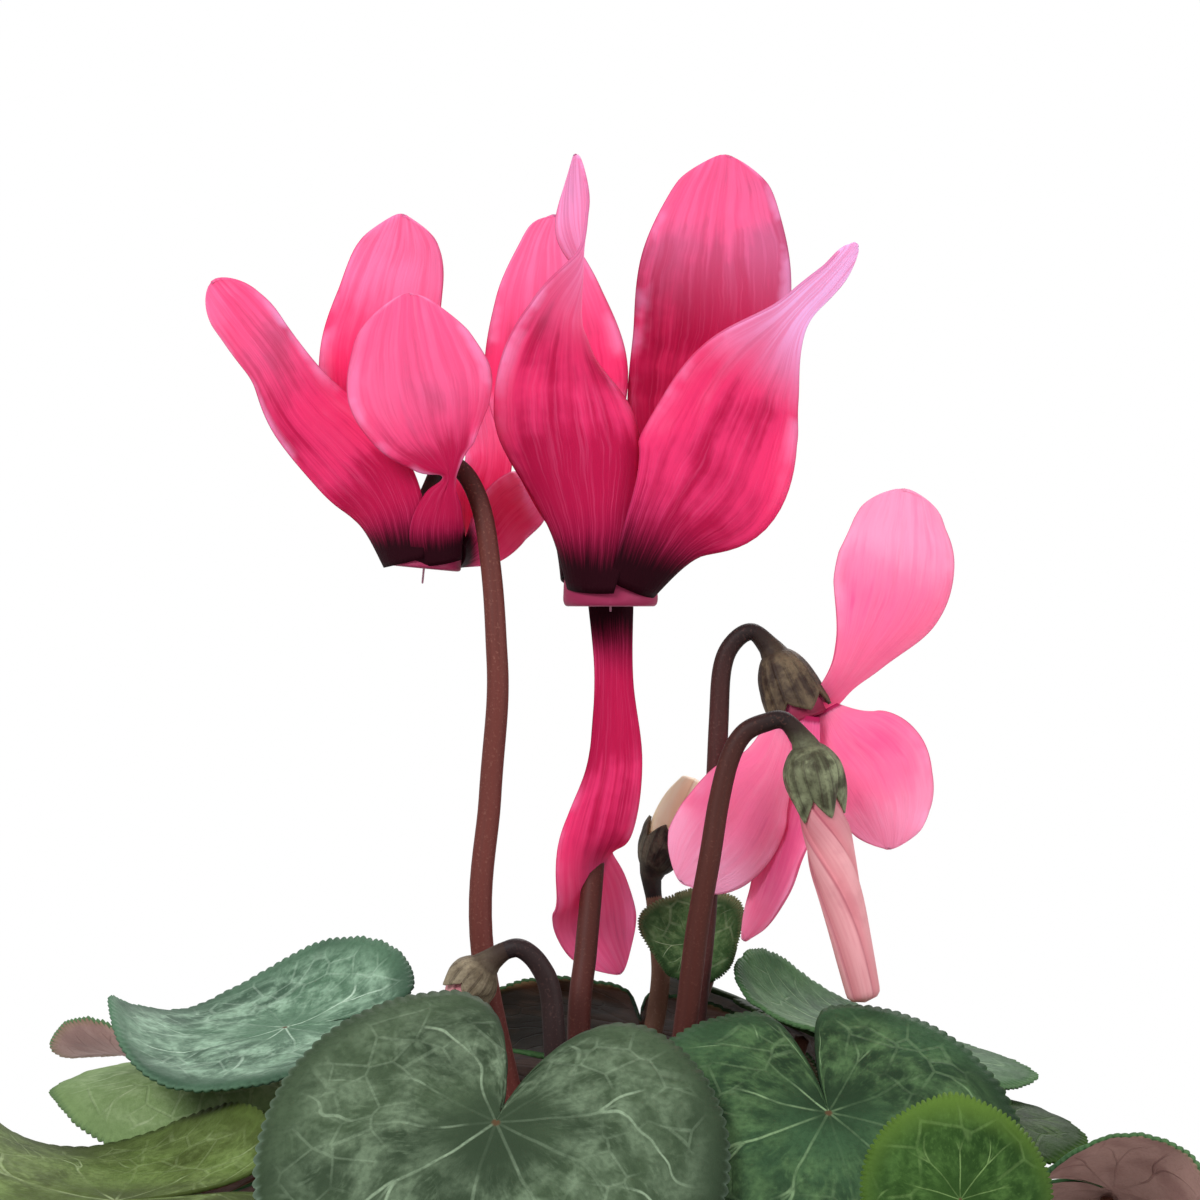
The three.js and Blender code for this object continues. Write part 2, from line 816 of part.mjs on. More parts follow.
function leafBlade(leaf, thickness) {
  const { forward, right, up } = leafFrame(leaf);
  const pointAt = (share, turn) => {
    const even = turn > 0.5 ? 360 * (turn - 1) : 360 * turn;
    const closing = 12 * Math.exp(-(((180 - Math.abs(even)) / 14) ** 2));
    const angle = Math.abs(even) === 180 ? even : even + Math.sign(even) * closing;
    const corner = Math.round(turn * LEAF_RIM_POINTS);
    const tooth = share === 1 ? LEAF_TOOTH * (corner % 2 ? 0.5 : -0.5) : 0;
    const [along, across, height] = leafSurface(leaf, share * (1 + tooth), angle);
    return vector(leaf.at)
      .addScaledVector(forward, along)
      .addScaledVector(right, across)
      .addScaledVector(up, height);
  };
  const rings = [LEAF_RIM_POINTS / 4, LEAF_RIM_POINTS / 2, LEAF_RIM_POINTS];
  return roundBlade(rings, pointAt, thickness);
}

// A leaf's stalk leans out from the tuber, comes up below the blade from the plant's middle and meets it.
function leafStalk(leaf) {
  const { up } = leafFrame(leaf);
  const seat = vector(leaf.at);
  const outward = new THREE.Vector3(seat.x, seat.y, 0);
  const base = outward.clone().setLength(LEAF_STALK_ROOT).setZ(TUBER_TOP - 5);
  const halfway = outward.clone().multiplyScalar(0.5).setZ(mix(base.z, seat.z, 0.6));
  const middle = leaf.by ? vector(leaf.by) : halfway;
  const [inward, down] = leaf.arrive ?? [5, 8];
  const below = seat.clone().addScaledVector(outward.normalize(), -inward);
  below.z -= down;
  const slant = up.angleTo(seat.clone().sub(below));
  const clearance = LEAF_THICKNESS / 2 + GAP + LEAF_STALK_HIGH_RADIUS * Math.sin(slant);
  const end = seat.clone().addScaledVector(up, -clearance);
  return stalkGeometry(
    [base, middle, below, end],
    LEAF_STALK_LOW_RADIUS,
    LEAF_STALK_HIGH_RADIUS,
    LEAF_STALK_SIDES,
    LEAF_STALK_STEPS,
  );
}

// Pot, soil and tuber
function potSolid() {
  const bandFoot = POT_HEIGHT - POT_BAND_HEIGHT;
  const wallAt = (height) => mix(POT_FOOT_RADIUS, POT_RIM_RADIUS - POT_BAND_STEP, height / POT_HEIGHT);
  const profile = [
    [0, 0],
    [POT_FOOT_RADIUS, 0],
    [wallAt(bandFoot), bandFoot],
    [POT_RIM_RADIUS - 0.6, bandFoot + 1],
    [POT_RIM_RADIUS, POT_HEIGHT - 0.6],
    [POT_RIM_RADIUS - 0.6, POT_HEIGHT],
    [POT_RIM_RADIUS - POT_WALL, POT_HEIGHT],
    [POT_RIM_RADIUS - POT_WALL - 0.6, bandFoot + 3],
    [wallAt(bandFoot) - POT_WALL, bandFoot],
    [POT_FOOT_RADIUS - POT_WALL, POT_WALL + 0.7],
    [0, POT_WALL + 0.7],
  ];
  let pot = solidFrom(turned(profile, POT_SIDES));
  for (let i = 0; i < DRAIN_HOLE_COUNT; i += 1) {
    const turn = (i / DRAIN_HOLE_COUNT) * 2 * Math.PI;
    const hole = new THREE.CylinderGeometry(DRAIN_HOLE_RADIUS, DRAIN_HOLE_RADIUS, 10, HOLE_SIDES);
    hole.rotateX(Math.PI / 2);
    hole.translate(DRAIN_HOLE_CIRCLE * Math.cos(turn), DRAIN_HOLE_CIRCLE * Math.sin(turn), 0);
    pot = pot.subtract(solidFrom(hole));
  }
  return pot;
}

function tuberProfile(extra) {
  const middle = (TUBER_TOP + TUBER_BOTTOM) / 2;
  const half = (TUBER_TOP - TUBER_BOTTOM) / 2 + extra;
  return [-90, -60, -30, 0, 30, 60, 90].map((angle) => [
    Math.max(0, (TUBER_RADIUS + extra) * Math.cos(degrees(angle)) ** 0.7) * (Math.abs(angle) === 90 ? 0 : 1),
    middle + half * Math.sin(degrees(angle)),
  ]);
}

function soilSolid() {
  const bandFoot = POT_HEIGHT - POT_BAND_HEIGHT;
  const inside = (height) =>
    mix(POT_FOOT_RADIUS, POT_RIM_RADIUS - POT_BAND_STEP, height / POT_HEIGHT) - POT_WALL - GAP - 0.5;
  const floor = POT_WALL + 0.7 + GAP;
  const profile = [
    [0, floor],
    [inside(floor) - 0.3, floor],
    [inside(bandFoot), bandFoot],
    [inside(bandFoot) + 0.6, SOIL_TOP - 1.5],
    [inside(bandFoot) * 0.8, SOIL_TOP],
    [inside(bandFoot) * 0.5, SOIL_TOP - 1],
    [0, SOIL_TOP],
  ];
  return solidFrom(turned(profile, SOIL_SIDES)).subtract(solidFrom(turned(tuberProfile(GAP), TUBER_SIDES)));
}

function socketAt(row) {
  const radius = STALK_LOW_RADIUS + SOCKET_CLEARANCE;
  const depth = TUBER_TOP + 2 - SOCKET_FLOOR;
  const hole = new THREE.CylinderGeometry(radius, radius, depth, HOLE_SIDES).rotateX(Math.PI / 2);
  return solidFrom(hole.translate(row[0], row[1], SOCKET_FLOOR + depth / 2));
}

const plant = new THREE.Group();

for (const [name, flower] of Object.entries(FLOWERS)) {
  plant.add(mesh(`${name}_flower_petals`, corolla(flower), flower.colour));
  plant.add(mesh(`${name}_flower_calyx`, calyx(flower, flower.sepals), "calyx"));
  plant.add(mesh(`${name}_flower_stamens`, stamens(flower), "stamen"));
}
for (const [name, bud] of Object.entries(BUDS)) {
  plant.add(mesh(`${name}_petals`, budBody(bud), bud.colour));
  plant.add(mesh(`${name}_calyx`, calyx(bud, BUD_SEPALS), "calyx"));
}
for (const [name, rows] of Object.entries(STALK_ROWS)) {
  const dome = FLOWERS[name] ?? BUDS[name];
  const geometry = stalkGeometry(
    stalkPoints(rows, dome),
    STALK_LOW_RADIUS,
    STALK_HIGH_RADIUS,
    STALK_SIDES,
    Math.round(rows.length * STALK_STEPS_PER_ROW),
  );
  plant.add(mesh(FLOWERS[name] ? `${name}_flower_stalk` : `${name}_stalk`, geometry, "flower_stalk"));
}

// Small moves outward and down, the shortest first
const SETTLE_MOVES = [];
for (let out = 0; out <= SETTLE_FURTHEST; out += SETTLE_STEP) {
  for (let drop = -SETTLE_FURTHEST / 2; drop <= SETTLE_FURTHEST; drop += SETTLE_STEP) {
    SETTLE_MOVES.push([out, drop]);
  }
}
SETTLE_MOVES.sort((a, b) => Math.hypot(...a) - Math.hypot(...b));

const boxed = (solid) => ({ solid, box: solid.boundingBox() });

function clear(solid, others) {
  const box = solid.boundingBox();
  return others.every((other) => {
    const apart = [0, 1, 2].some((i) => other.box.min[i] > box.max[i] || other.box.max[i] < box.min[i]);
    return apart || solid.intersect(other.solid).isEmpty();
  });
}

// A leaf makes the shortest move that brings its blade and its stalk clear of all that is placed before it.
function settle(leaf, fixed, blades, stalks) {
  const outward = new THREE.Vector3(leaf.at[0], leaf.at[1], 0).normalize();
  for (const [out, drop] of SETTLE_MOVES) {
    const at = [leaf.at[0] + outward.x * out, leaf.at[1] + outward.y * out, leaf.at[2] - drop];
    const settled = { ...leaf, at };
    const blade = solidFrom(leafBlade(settled, LEAF_THICKNESS + 2 * GAP));
    const stalk = solidFrom(leafStalk(settled));
    const bladeClear = [fixed, blades, stalks].every((others) => clear(blade, others));
    if (bladeClear && clear(stalk, fixed) && clear(stalk, blades)) {
      blades.push(boxed(blade));
      stalks.push(boxed(stalk));
      return settled;
    }
  }
  throw new Error(`${leaf.name} finds no clear place`);
}

const pot = potSolid();
const fixed = [boxed(pot), ...plant.children.map((child) => boxed(solidFrom(child.geometry)))];
const blades = [];
const stalks = [];
let crown = solidFrom(turned(tuberProfile(0), TUBER_SIDES));
for (const leaf of [...LEAVES, ...TIERS.flatMap(tierLeaves)]) {
  const settled = settle(leaf, fixed, blades, stalks);
  crown = crown.add(solidFrom(leafStalk(settled)));
  plant.add(mesh(leaf.name, leafBlade(settled, LEAF_THICKNESS), leaf.colour ?? "leaf"));
}
for (const rows of Object.values(STALK_ROWS)) {
  crown = crown.subtract(socketAt(rows[0]));
}
plant.add(mesh("tuber_and_leaf_stalks", geometryFrom(crown), "leaf_stalk"));
plant.add(mesh("soil", geometryFrom(soilSolid()), "soil"));
plant.add(mesh("pot", geometryFrom(pot), "pot"));

export default plant;
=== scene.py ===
# A florist's cyclamen in bloom in a plain nursery pot, seen a little above its leaves.
# Sizes are in millimetres where they are named, and +Z is up from the pot's flat underside.
import math
import random

import bmesh
import bpy
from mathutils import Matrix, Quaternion, Vector, noise


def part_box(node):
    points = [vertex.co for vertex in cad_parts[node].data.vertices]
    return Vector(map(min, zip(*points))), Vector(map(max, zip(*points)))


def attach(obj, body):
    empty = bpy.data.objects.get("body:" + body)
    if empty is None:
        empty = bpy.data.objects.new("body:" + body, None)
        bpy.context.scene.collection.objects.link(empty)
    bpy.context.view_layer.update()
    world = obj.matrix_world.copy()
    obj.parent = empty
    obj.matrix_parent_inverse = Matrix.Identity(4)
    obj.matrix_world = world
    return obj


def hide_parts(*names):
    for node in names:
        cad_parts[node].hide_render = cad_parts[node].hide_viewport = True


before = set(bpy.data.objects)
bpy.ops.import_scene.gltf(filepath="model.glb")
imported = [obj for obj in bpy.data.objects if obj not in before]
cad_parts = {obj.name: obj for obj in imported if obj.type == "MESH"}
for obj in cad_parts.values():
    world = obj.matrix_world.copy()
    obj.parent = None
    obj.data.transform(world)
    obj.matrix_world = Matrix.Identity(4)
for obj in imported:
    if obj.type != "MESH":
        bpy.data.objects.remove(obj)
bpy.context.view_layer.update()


# The pot: a plain nursery pot moulded in one piece of terracotta-coloured plastic, with a deep band
# below its rim and six drain holes in its floor. It stands on its flat underside and carries the rest.
MM = 0.001
MERGE_DISTANCE = 2e-6
SEAM_DISTANCE = 1e-6
POT_HEIGHT = 105
POT_RIM_RADIUS = 62.5
POT_FOOT_RADIUS = 43
POT_WALL = 1.8
POT_BAND_HEIGHT = 17
POT_BAND_STEP = 2.6
POT_FLOOR = 2.5
DRAIN_HOLE_RADIUS = 4
DRAIN_HOLE_CIRCLE = 28
DRAIN_HOLE_COUNT = 6
DRAIN_HOLE_SIDES = 32
POT_TURNS = 120
POT_EDGE = 0.8
POT_EDGE_ANGLE = 35


def mapped_shape(name):
    """An empty shape and its map across and along the surface."""
    shape = bmesh.new()
    return shape, shape.loops.layers.uv.new(name)


class Shade:
    """A number, colour or vector inside a finish, which Python's own signs add up, scale and compare."""

    def __init__(self, finish, socket):
        self.finish = finish
        self.socket = socket

    def math(self, operation, *others):
        return self.finish.node("ShaderNodeMath", {"operation": operation}, [self, *others])

    def __add__(self, other):
        return self.math("ADD", other)

    def __sub__(self, other):
        return self.math("SUBTRACT", other)

    def __rsub__(self, other):
        return self.finish.node("ShaderNodeMath", {"operation": "SUBTRACT"}, [other, self])

    def __mul__(self, other):
        return self.math("MULTIPLY", other)

    def __abs__(self):
        return self.math("ABSOLUTE")

    __radd__ = __add__
    __rmul__ = __mul__

    def rises(self, low, high):
        """0 below low and 1 above high, with a smooth rise between them."""
        inputs = {"Value": self, "From Min": low, "From Max": high}
        return self.finish.node("ShaderNodeMapRange", {"interpolation_type": "SMOOTHSTEP"}, inputs)

    def line(self, width):
        """1 where the value is nearly 0, fading out at the width."""
        return 1 - self.rises(width * 0.3, width)


class Finish:
    """A material whose colours are laid over one another on its base and end in its surface."""

    def __init__(self, name):
        self.material = bpy.data.materials.new(name)
        self.material.use_nodes = True
        self.tree = self.material.node_tree
        self.tree.nodes.clear()
        self.place = self.node("ShaderNodeTexCoord", output="Object")
        self.base = None

    def make(self, kind, settings=None, inputs=()):
        made = self.tree.nodes.new(kind)
        for name, value in (settings or {}).items():
            setattr(made, name, value)
        pairs = inputs.items() if isinstance(inputs, dict) else enumerate(inputs)
        for key, value in pairs:
            if isinstance(value, Shade):
                self.tree.links.new(value.socket, made.inputs[key])
            else:
                made.inputs[key].default_value = colour(value) if isinstance(value, str) else value
        return made

    def node(self, kind, settings=None, inputs=(), output=0):
        return Shade(self, self.make(kind, settings, inputs).outputs[output])

    def parts(self, vector):
        return [Shade(self, part) for part in self.make("ShaderNodeSeparateXYZ", inputs=[vector]).outputs]

    def flat(self, name):
        """Across and along the surface, in the piece's own map."""
        return self.parts(self.node("ShaderNodeUVMap", {"uv_map": name}))[:2]

    def marked(self, name, output="Vector"):
        return self.node("ShaderNodeAttribute", {"attribute_name": name}, output=output)

    def cloud(self, scale, detail=3.0, spot=()):
        """Soft noise over the piece, or over a spot put together from values."""
        vector = self.node("ShaderNodeCombineXYZ", inputs=spot) if spot else self.place
        inputs = {"Vector": vector, "Scale": scale, "Detail": detail}
        return self.node("ShaderNodeTexNoise", inputs=inputs, output="Fac")

    def cells(self, scale):
        inputs = {"Vector": self.place, "Scale": scale}
        return self.node("ShaderNodeTexVoronoi", {"feature": "DISTANCE_TO_EDGE"}, inputs, "Distance")

    def paint(self, share, over, under=None):
        """Lays a share of one colour over the base, or over the first colour under it."""
        inputs = {0: share, 6: under or self.base, 7: over}
        self.base = self.node("ShaderNodeMix", {"data_type": "RGBA"}, inputs, 2)

    def end(self, rough, bump, specular=0.5, glow=None, glow_share=0.0):
        """The surface over the base, bumped, with light of the glow colour coming through from behind."""
        normal = self.node("ShaderNodeBump", inputs=dict(zip(("Height", "Strength", "Distance"), bump)))
        inputs = {"Base Color": self.base, "Roughness": rough, "Normal": normal}
        inputs["Specular IOR Level"] = specular
        surface = self.node("ShaderNodeBsdfPrincipled", inputs=inputs)
        if glow:
            through = self.node("ShaderNodeBsdfTranslucent", inputs={"Color": glow})
            surface = self.node("ShaderNodeMixShader", inputs=[glow_share, surface, through])
        self.make("ShaderNodeOutputMaterial", inputs={"Surface": surface})
        return self.material


def colour(text):
    """A colour written as six hexadecimal digits, in the linear form that shaders take."""
    parts = [int(text[i : i + 2], 16) / 255 for i in (0, 2, 4)]
    return (*[part / 12.92 if part <= 0.04045 else ((part + 0.055) / 1.055) ** 2.4 for part in parts], 1.0)


def scene_object(name, data):
    made = bpy.data.objects.new(name, data)
    bpy.context.scene.collection.objects.link(made)
    return made


def mesh_object(name, shape, finishes=()):
    mesh = bpy.data.meshes.new(name)
    shape.to_mesh(mesh)
    shape.free()
    for finish in finishes:
        mesh.materials.append(finish)
    return scene_object(name, mesh)


def piece(name, shape, finishes, slot, *nodes, thickness=0):
    """A finished piece of the plant, which stands for the CAD solids that are named."""
    made = mesh_object(name, shape, finishes)
    made.data.polygons.foreach_set("use_smooth", [True] * len(made.data.polygons))
    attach(made, "root")
    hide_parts(*nodes)
    if thickness:
        thick = made.modifiers.new("thickness", "SOLIDIFY")
        thick.thickness = thickness * MM
        thick.offset = 0
    return made


def face_outward(shape):
    bmesh.ops.recalc_face_normals(shape, faces=shape.faces)


def spun(shape, profile, steps):
    """Turns a profile of radius and height once round the Z axis."""
    points = [shape.verts.new((radius * MM, 0, height * MM)) for radius, height in profile]
    edges = [shape.edges.new(pair) for pair in zip(points, points[1:])]
    whole_turn = dict(axis=(0, 0, 1), cent=(0, 0, 0), angle=2 * math.pi, use_merge=True)
    bmesh.ops.spin(shape, geom=points + edges, steps=steps, **whole_turn)
    bmesh.ops.remove_doubles(shape, verts=shape.verts, dist=SEAM_DISTANCE)
    face_outward(shape)


def pot_wall_at(height):
    return POT_FOOT_RADIUS + (POT_RIM_RADIUS - POT_BAND_STEP - POT_FOOT_RADIUS) * height / POT_HEIGHT


def pot_finish():
    finish = Finish("moulded terracotta plastic")
    mottle = finish.cloud(45.0)
    grain = finish.cloud(1400.0)
    dust = finish.cloud(14.0, 5.0).rises(0.52, 0.75)
    finish.paint(mottle, "B25E38", "9C4A2A")
    finish.paint(dust * 0.35, "C79A7E")
    rough = 0.52 + 0.2 * dust + 0.08 * mottle
    return finish.end(rough, (grain, 0.12, 0.0002))


band_foot = POT_HEIGHT - POT_BAND_HEIGHT
pot_profile = [
    (0, 0),
    (POT_FOOT_RADIUS - POT_EDGE, 0),
    (POT_FOOT_RADIUS, POT_EDGE),
    (pot_wall_at(band_foot), band_foot),
    (POT_RIM_RADIUS - 1, band_foot + 0.6),
    (POT_RIM_RADIUS - 0.6, band_foot + 1),
    (POT_RIM_RADIUS, POT_HEIGHT - POT_EDGE),
    (POT_RIM_RADIUS - 0.3, POT_HEIGHT - 0.2),
    (POT_RIM_RADIUS - 0.9, POT_HEIGHT),
    (POT_RIM_RADIUS - POT_WALL + 0.2, POT_HEIGHT - 0.3),
    (POT_RIM_RADIUS - POT_WALL - 0.6, band_foot + 3),
    (pot_wall_at(band_foot) - POT_WALL, band_foot),
    (POT_FOOT_RADIUS - POT_WALL, POT_FLOOR),
    (0, POT_FLOOR),
]
pot_shape = bmesh.new()
spun(pot_shape, pot_profile, POT_TURNS)
pot = piece("moulded_pot", pot_shape, [pot_finish()], "pot", "pot")
pot.data.set_sharp_from_angle(angle=math.radians(POT_EDGE_ANGLE))
drain_cutters = bmesh.new()
for hole in range(DRAIN_HOLE_COUNT):
    turn = 2 * math.pi * hole / DRAIN_HOLE_COUNT
    size = dict(radius1=DRAIN_HOLE_RADIUS * MM, radius2=DRAIN_HOLE_RADIUS * MM, depth=4 * POT_FLOOR * MM)
    made = bmesh.ops.create_cone(drain_cutters, cap_ends=True, segments=DRAIN_HOLE_SIDES, **size)
    centre = Vector((math.cos(turn), math.sin(turn), 0)) * DRAIN_HOLE_CIRCLE * MM
    bmesh.ops.translate(drain_cutters, verts=made["verts"], vec=centre)
cutter = mesh_object("drain holes", drain_cutters)
cut = pot.modifiers.new("drain holes", "BOOLEAN")
cut.object = cutter
cut.solver = "EXACT"
holed = bpy.data.meshes.new_from_object(pot.evaluated_get(bpy.context.evaluated_depsgraph_get()))
pot.modifiers.clear()
pot.data = holed
bpy.data.objects.remove(cutter)


# The soil: loose dark potting mix of peat and bark with a few white grains of perlite. It fills the pot
# to a thumb's width below the rim, heaped a little round the tuber that sits in it.
SOIL_TOP = 95
SOIL_GAP = 0.8
SOIL_DIP = 0.8
SOIL_LUMP = 0.7
SOIL_RINGS = 40
SOIL_TURNS = 96
CRUMB_COUNT = 320
CRUMB_SEED = 7
PERLITE_EVERY = 6


def soil_finish():
    finish = Finish("potting mix")
    grain = finish.cloud(420.0, 6.0)
    patch = finish.cloud(60.0)
    finish.paint(grain.rises(0.35, 0.7), "4A3526", "1E140E")
    finish.paint(patch.rises(0.5, 0.8) * 0.5, "5B4636")
    return finish.end(0.95, (grain, 0.8, 0.0012))


def perlite_finish():
    finish = Finish("perlite")
    grain = finish.cloud(900.0)
    finish.paint(grain, "F2EFE6", "CFC9BC")
    return finish.end(0.85, (grain, 0.5, 0.0004))


soil_edge = pot_wall_at(band_foot) - POT_WALL - SOIL_GAP
soil_profile = [
    (0, POT_FLOOR + 0.3),
    (POT_FOOT_RADIUS - POT_WALL - SOIL_GAP, POT_FLOOR + 0.3),
    (soil_edge, band_foot),
    (soil_edge + 0.6, SOIL_TOP - 1.5),
]
for ring in range(1, SOIL_RINGS + 1):
    soil_profile.append((soil_edge * (1 - ring / SOIL_RINGS), SOIL_TOP - SOIL_DIP))
soil_shape = bmesh.new()
spun(soil_shape, soil_profile, SOIL_TURNS)
for vert in soil_shape.verts:
    if vert.co.z > (SOIL_TOP - 1) * MM:
        lump = noise.noise(vert.co / (9 * MM)) + 0.5 * noise.noise(vert.co / (3 * MM))
        vert.co.z += SOIL_LUMP * lump * MM
crumbs = random.Random(CRUMB_SEED)
for crumb in range(CRUMB_COUNT):
    turn = crumbs.uniform(0, 2 * math.pi)
    reach = soil_edge * math.sqrt(crumbs.uniform(0.14, 0.94)) * MM
    made = bmesh.ops.create_icosphere(soil_shape, subdivisions=1, radius=crumbs.uniform(0.5, 1.5) * MM)
    stretch = Vector([crumbs.uniform(0.6, 1.3) for _ in range(3)])
    bmesh.ops.scale(soil_shape, verts=made["verts"], vec=stretch)
    spot = Vector((reach * math.cos(turn), reach * math.sin(turn), (SOIL_TOP - 0.5) * MM))
    bmesh.ops.translate(soil_shape, verts=made["verts"], vec=spot)
    if crumb % PERLITE_EVERY == 0:
        for face in {face for vert in made["verts"] for face in vert.link_faces}:
            face.material_index = 1
piece("potting_mix", soil_shape, [soil_finish(), perlite_finish()], "soil", "soil")


# The leaves: heart-shaped waxy blades with beaded edges, dark green above with a silver band and pale
# veins, and mauve below. Each sits on the end of its own stalk, and the upper ones shade the lower.
LEAF_THICKNESS = 0.5
SOLID_LEAF_RINGS = {1: 8, 2: 16, 3: 32}
SOLID_LEAF_TOOTH = 0.05
SETTLE_STEP = 1.5
TOOTH_COUNT = 110
TOOTH_POINTS = 4
TOOTH_HEIGHT = 0.55
HIDDEN_TOOTH_POINTS = 3
LEAF_RINGS = 13
HIDDEN_LEAF_RINGS = 9
RIM_START = 0.93
RIM_RIPPLE = 0.3
RIM_DROP = 0.25
CUSHION_HEIGHT = 0.35
VEIN_SPACING = 36
VEIN_SPAN = 400
VEIN_DEPTH = 0.12
VEIN_WIDTH = 0.8

LEAVES = [
    dict(
        name="front_left", at=(-13, -52, 156.5), heading=-22, pitch=40, roll=-12, size=32, notch=15,
        look="grey",
    ),
    dict(name="front_right", at=(29.2, -44, 156.3), heading=12, pitch=40, roll=2, size=28, look="green"),
    dict(
        name="young_front", at=(42, -77, 152), heading=180, pitch=-72, roll=6, size=12, wave=0.04,
        by=(33, -62, 118), arrive=(3, 5), look="young", slot="young_leaf",
    ),
    dict(
        name="young_behind", at=(13.8, 14, 171.5), heading=175, pitch=-62, roll=0, size=7.8, wave=0.05,
        arrive=(-3, 5), curls=[(70, 0.3, 4, 1), (-70, 0.3, 4, 1)],
        grown=dict(wave=0.22, curls=[(80, 0.1, 5.5, 1), (-60, 0.15, 5.5, 1)]), look="margined",
        below="olive", slot="young_leaf",
    ),
    dict(
        name="back_left", at=(-44.5, -4, 161.3), heading=-94, pitch=6, roll=-8, size=26, droop=0,
        curls=[(-130, 0, 32, 1), (10, 0.45, 16, 1)], arrive=(8, 4), look="silver",
    ),
    dict(
        name="left", at=(-57, 0, 155.5), heading=-86, pitch=3, roll=-5, size=20,
        grown=dict(size=20.5, curls=[(90, 0, 26, -1)]), look="light", slot="young_leaf",
    ),
    dict(
        name="curled_left", at=(-63.5, 37, 153.3), heading=-94, pitch=-2, roll=0, size=20.5,
        curls=[(55, 0.3, 11, 1)], look="moss", below="rosy",
    ),
    dict(
        name="low_left", at=(-61.5, -47, 145.5), heading=-74, pitch=0, roll=-5, size=30.5, droop=-0.08,
        wave=-0.1, curls=[(-20, 0.3, 34, 1), (-155, 0.25, 14, 1), (125, 0.25, 14, -1)],
        grown=dict(
            size=34,
            curls=[(-20, 0.3, 34, 1), (-90, 0.3, 48, -1), (-140, 0.3, 22, 1), (125, 0.25, 16, -1)],
        ),
        look="olive",
    ),
    dict(
        name="back_right", at=(37.5, -1, 160), heading=82, pitch=16.5, roll=-1, size=23.5, droop=-0.05,
        curls=[(135, 0.55, 16, -1)], grown=dict(size=24, notch=0, heel=0.88, curls=[(170, 0.3, 17, 1)]),
        look="moss",
    ),
    dict(name="low_right", at=(44.5, -20, 155.8), heading=78, pitch=8, roll=4, size=21, look="deep"),
    dict(
        name="turned_right", at=(66.6, -38.5, 145.5), heading=92, pitch=24, roll=-36, size=21,
        curls=[(0, 0, 12, -1), (180, 0.05, 16, -1)], look="moss", below="rosy",
    ),
]
TIERS = [
    dict(
        name="back", radius=42, height=156, pitch=24, size=29, arrive=(5, 8), turns=(132, 171, 208),
        grown={2: dict(notch=2, curls=[(180, 0.3, 34, 1)])},
    ),
    dict(
        name="middle", radius=64, height=130, pitch=36, size=30, arrive=(6, 6),
        turns=(-8, 106, 145, 184, 223, 262),
    ),
    dict(
        name="outer", radius=76, height=108, pitch=52, size=28, arrive=(10, -1),
        turns=(-66, -27, 12, 50, 88, 126, 164, 203, 243),
    ),
]
SHINGLE_ROLL = 9
TIER_LOOKS = ("deep", "green", "moss")


def tier_leaves(tier):
    """The leaves of one tier round the plant, each rolled a little over its neighbour."""
    for i, turn in enumerate(tier["turns"]):
        x = tier["radius"] * math.sin(math.radians(turn))
        y = -tier["radius"] * math.cos(math.radians(turn))
        yield dict(
            name=f"{tier['name']}_{i + 1}",
            at=(x, y, tier["height"] + 2 * (i % 2)),
            heading=turn + 10 * math.sin(2.4 * i),
            pitch=tier["pitch"] + 5 * math.cos(1.7 * i),
            roll=SHINGLE_ROLL,
            arrive=tier["arrive"],
            size=tier["size"] + 1.5 * math.sin(1.3 * i),
            wave=0.035,
            look=TIER_LOOKS[i % len(TIER_LOOKS)],
            grown=tier.get("grown", {}).get(i + 1, {}),
        )


def bell(value, width):
    """1 where the value is 0, falling away on both sides of it within the width."""
    return math.exp(-((value / width) ** 2))


def leaf_reach(angle, notch_width, heel):
    """The outline in parts of the leaf's size: a heart with a notch behind, or round where its lobes lap."""
    from_notch = 180 - abs(angle)
    body = heel + (1 - heel) * max(math.cos(math.radians(angle / 2)), 0) ** 0.6
    notch = 1 - 0.93 * bell(from_notch, notch_width) if notch_width else 1
    return body * notch + 0.04 * bell(angle, 12)


def leaf_surface(leaf, share, angle):
    """Forward along the midrib, to the right and up, in the leaf's own frame."""
    size = leaf["size"]
    distance = share * size * leaf_reach(angle, leaf.get("notch", 6), leaf.get("heel", 0.62))
    forward = distance * math.cos(math.radians(angle))
    right = distance * math.sin(math.radians(angle))
    part = distance / size
    waves = math.sin(math.radians(3 * angle + 60)) * part * part
    up = size * (leaf.get("wave", 0.03) * waves - leaf.get("droop", 0.12) * part * part)
    for direction, start, radius, side in leaf.get("curls", []):
        cos = math.cos(math.radians(direction))
        sin = math.sin(math.radians(direction))
        past = forward * cos + right * sin - start * size
        if past > 0:
            turn = past / radius
            step = (radius - side * up) * math.sin(turn) - past
            forward += step * cos
            right += step * sin
            up = side * radius * (1 - math.cos(turn)) + up * math.cos(turn)
    return forward, right, up


def leaf_frame(leaf):
    heading = math.radians(leaf["heading"])
    pitch = math.radians(leaf["pitch"])
    level = math.cos(pitch)
    forward = Vector((math.sin(heading) * level, -math.cos(heading) * level, -math.sin(pitch)))
    right = Vector((math.cos(heading), math.sin(heading), 0))
    right.rotate(Quaternion(forward, math.radians(leaf["roll"])))
    return forward, right, forward.cross(right)


def leaf_point(leaf, share, angle):
    forward, right, up = leaf_surface(leaf, share, angle)
    ahead, aside, above = leaf["frame"]
    return Vector(leaf["at"]) + forward * ahead + right * aside + up * above


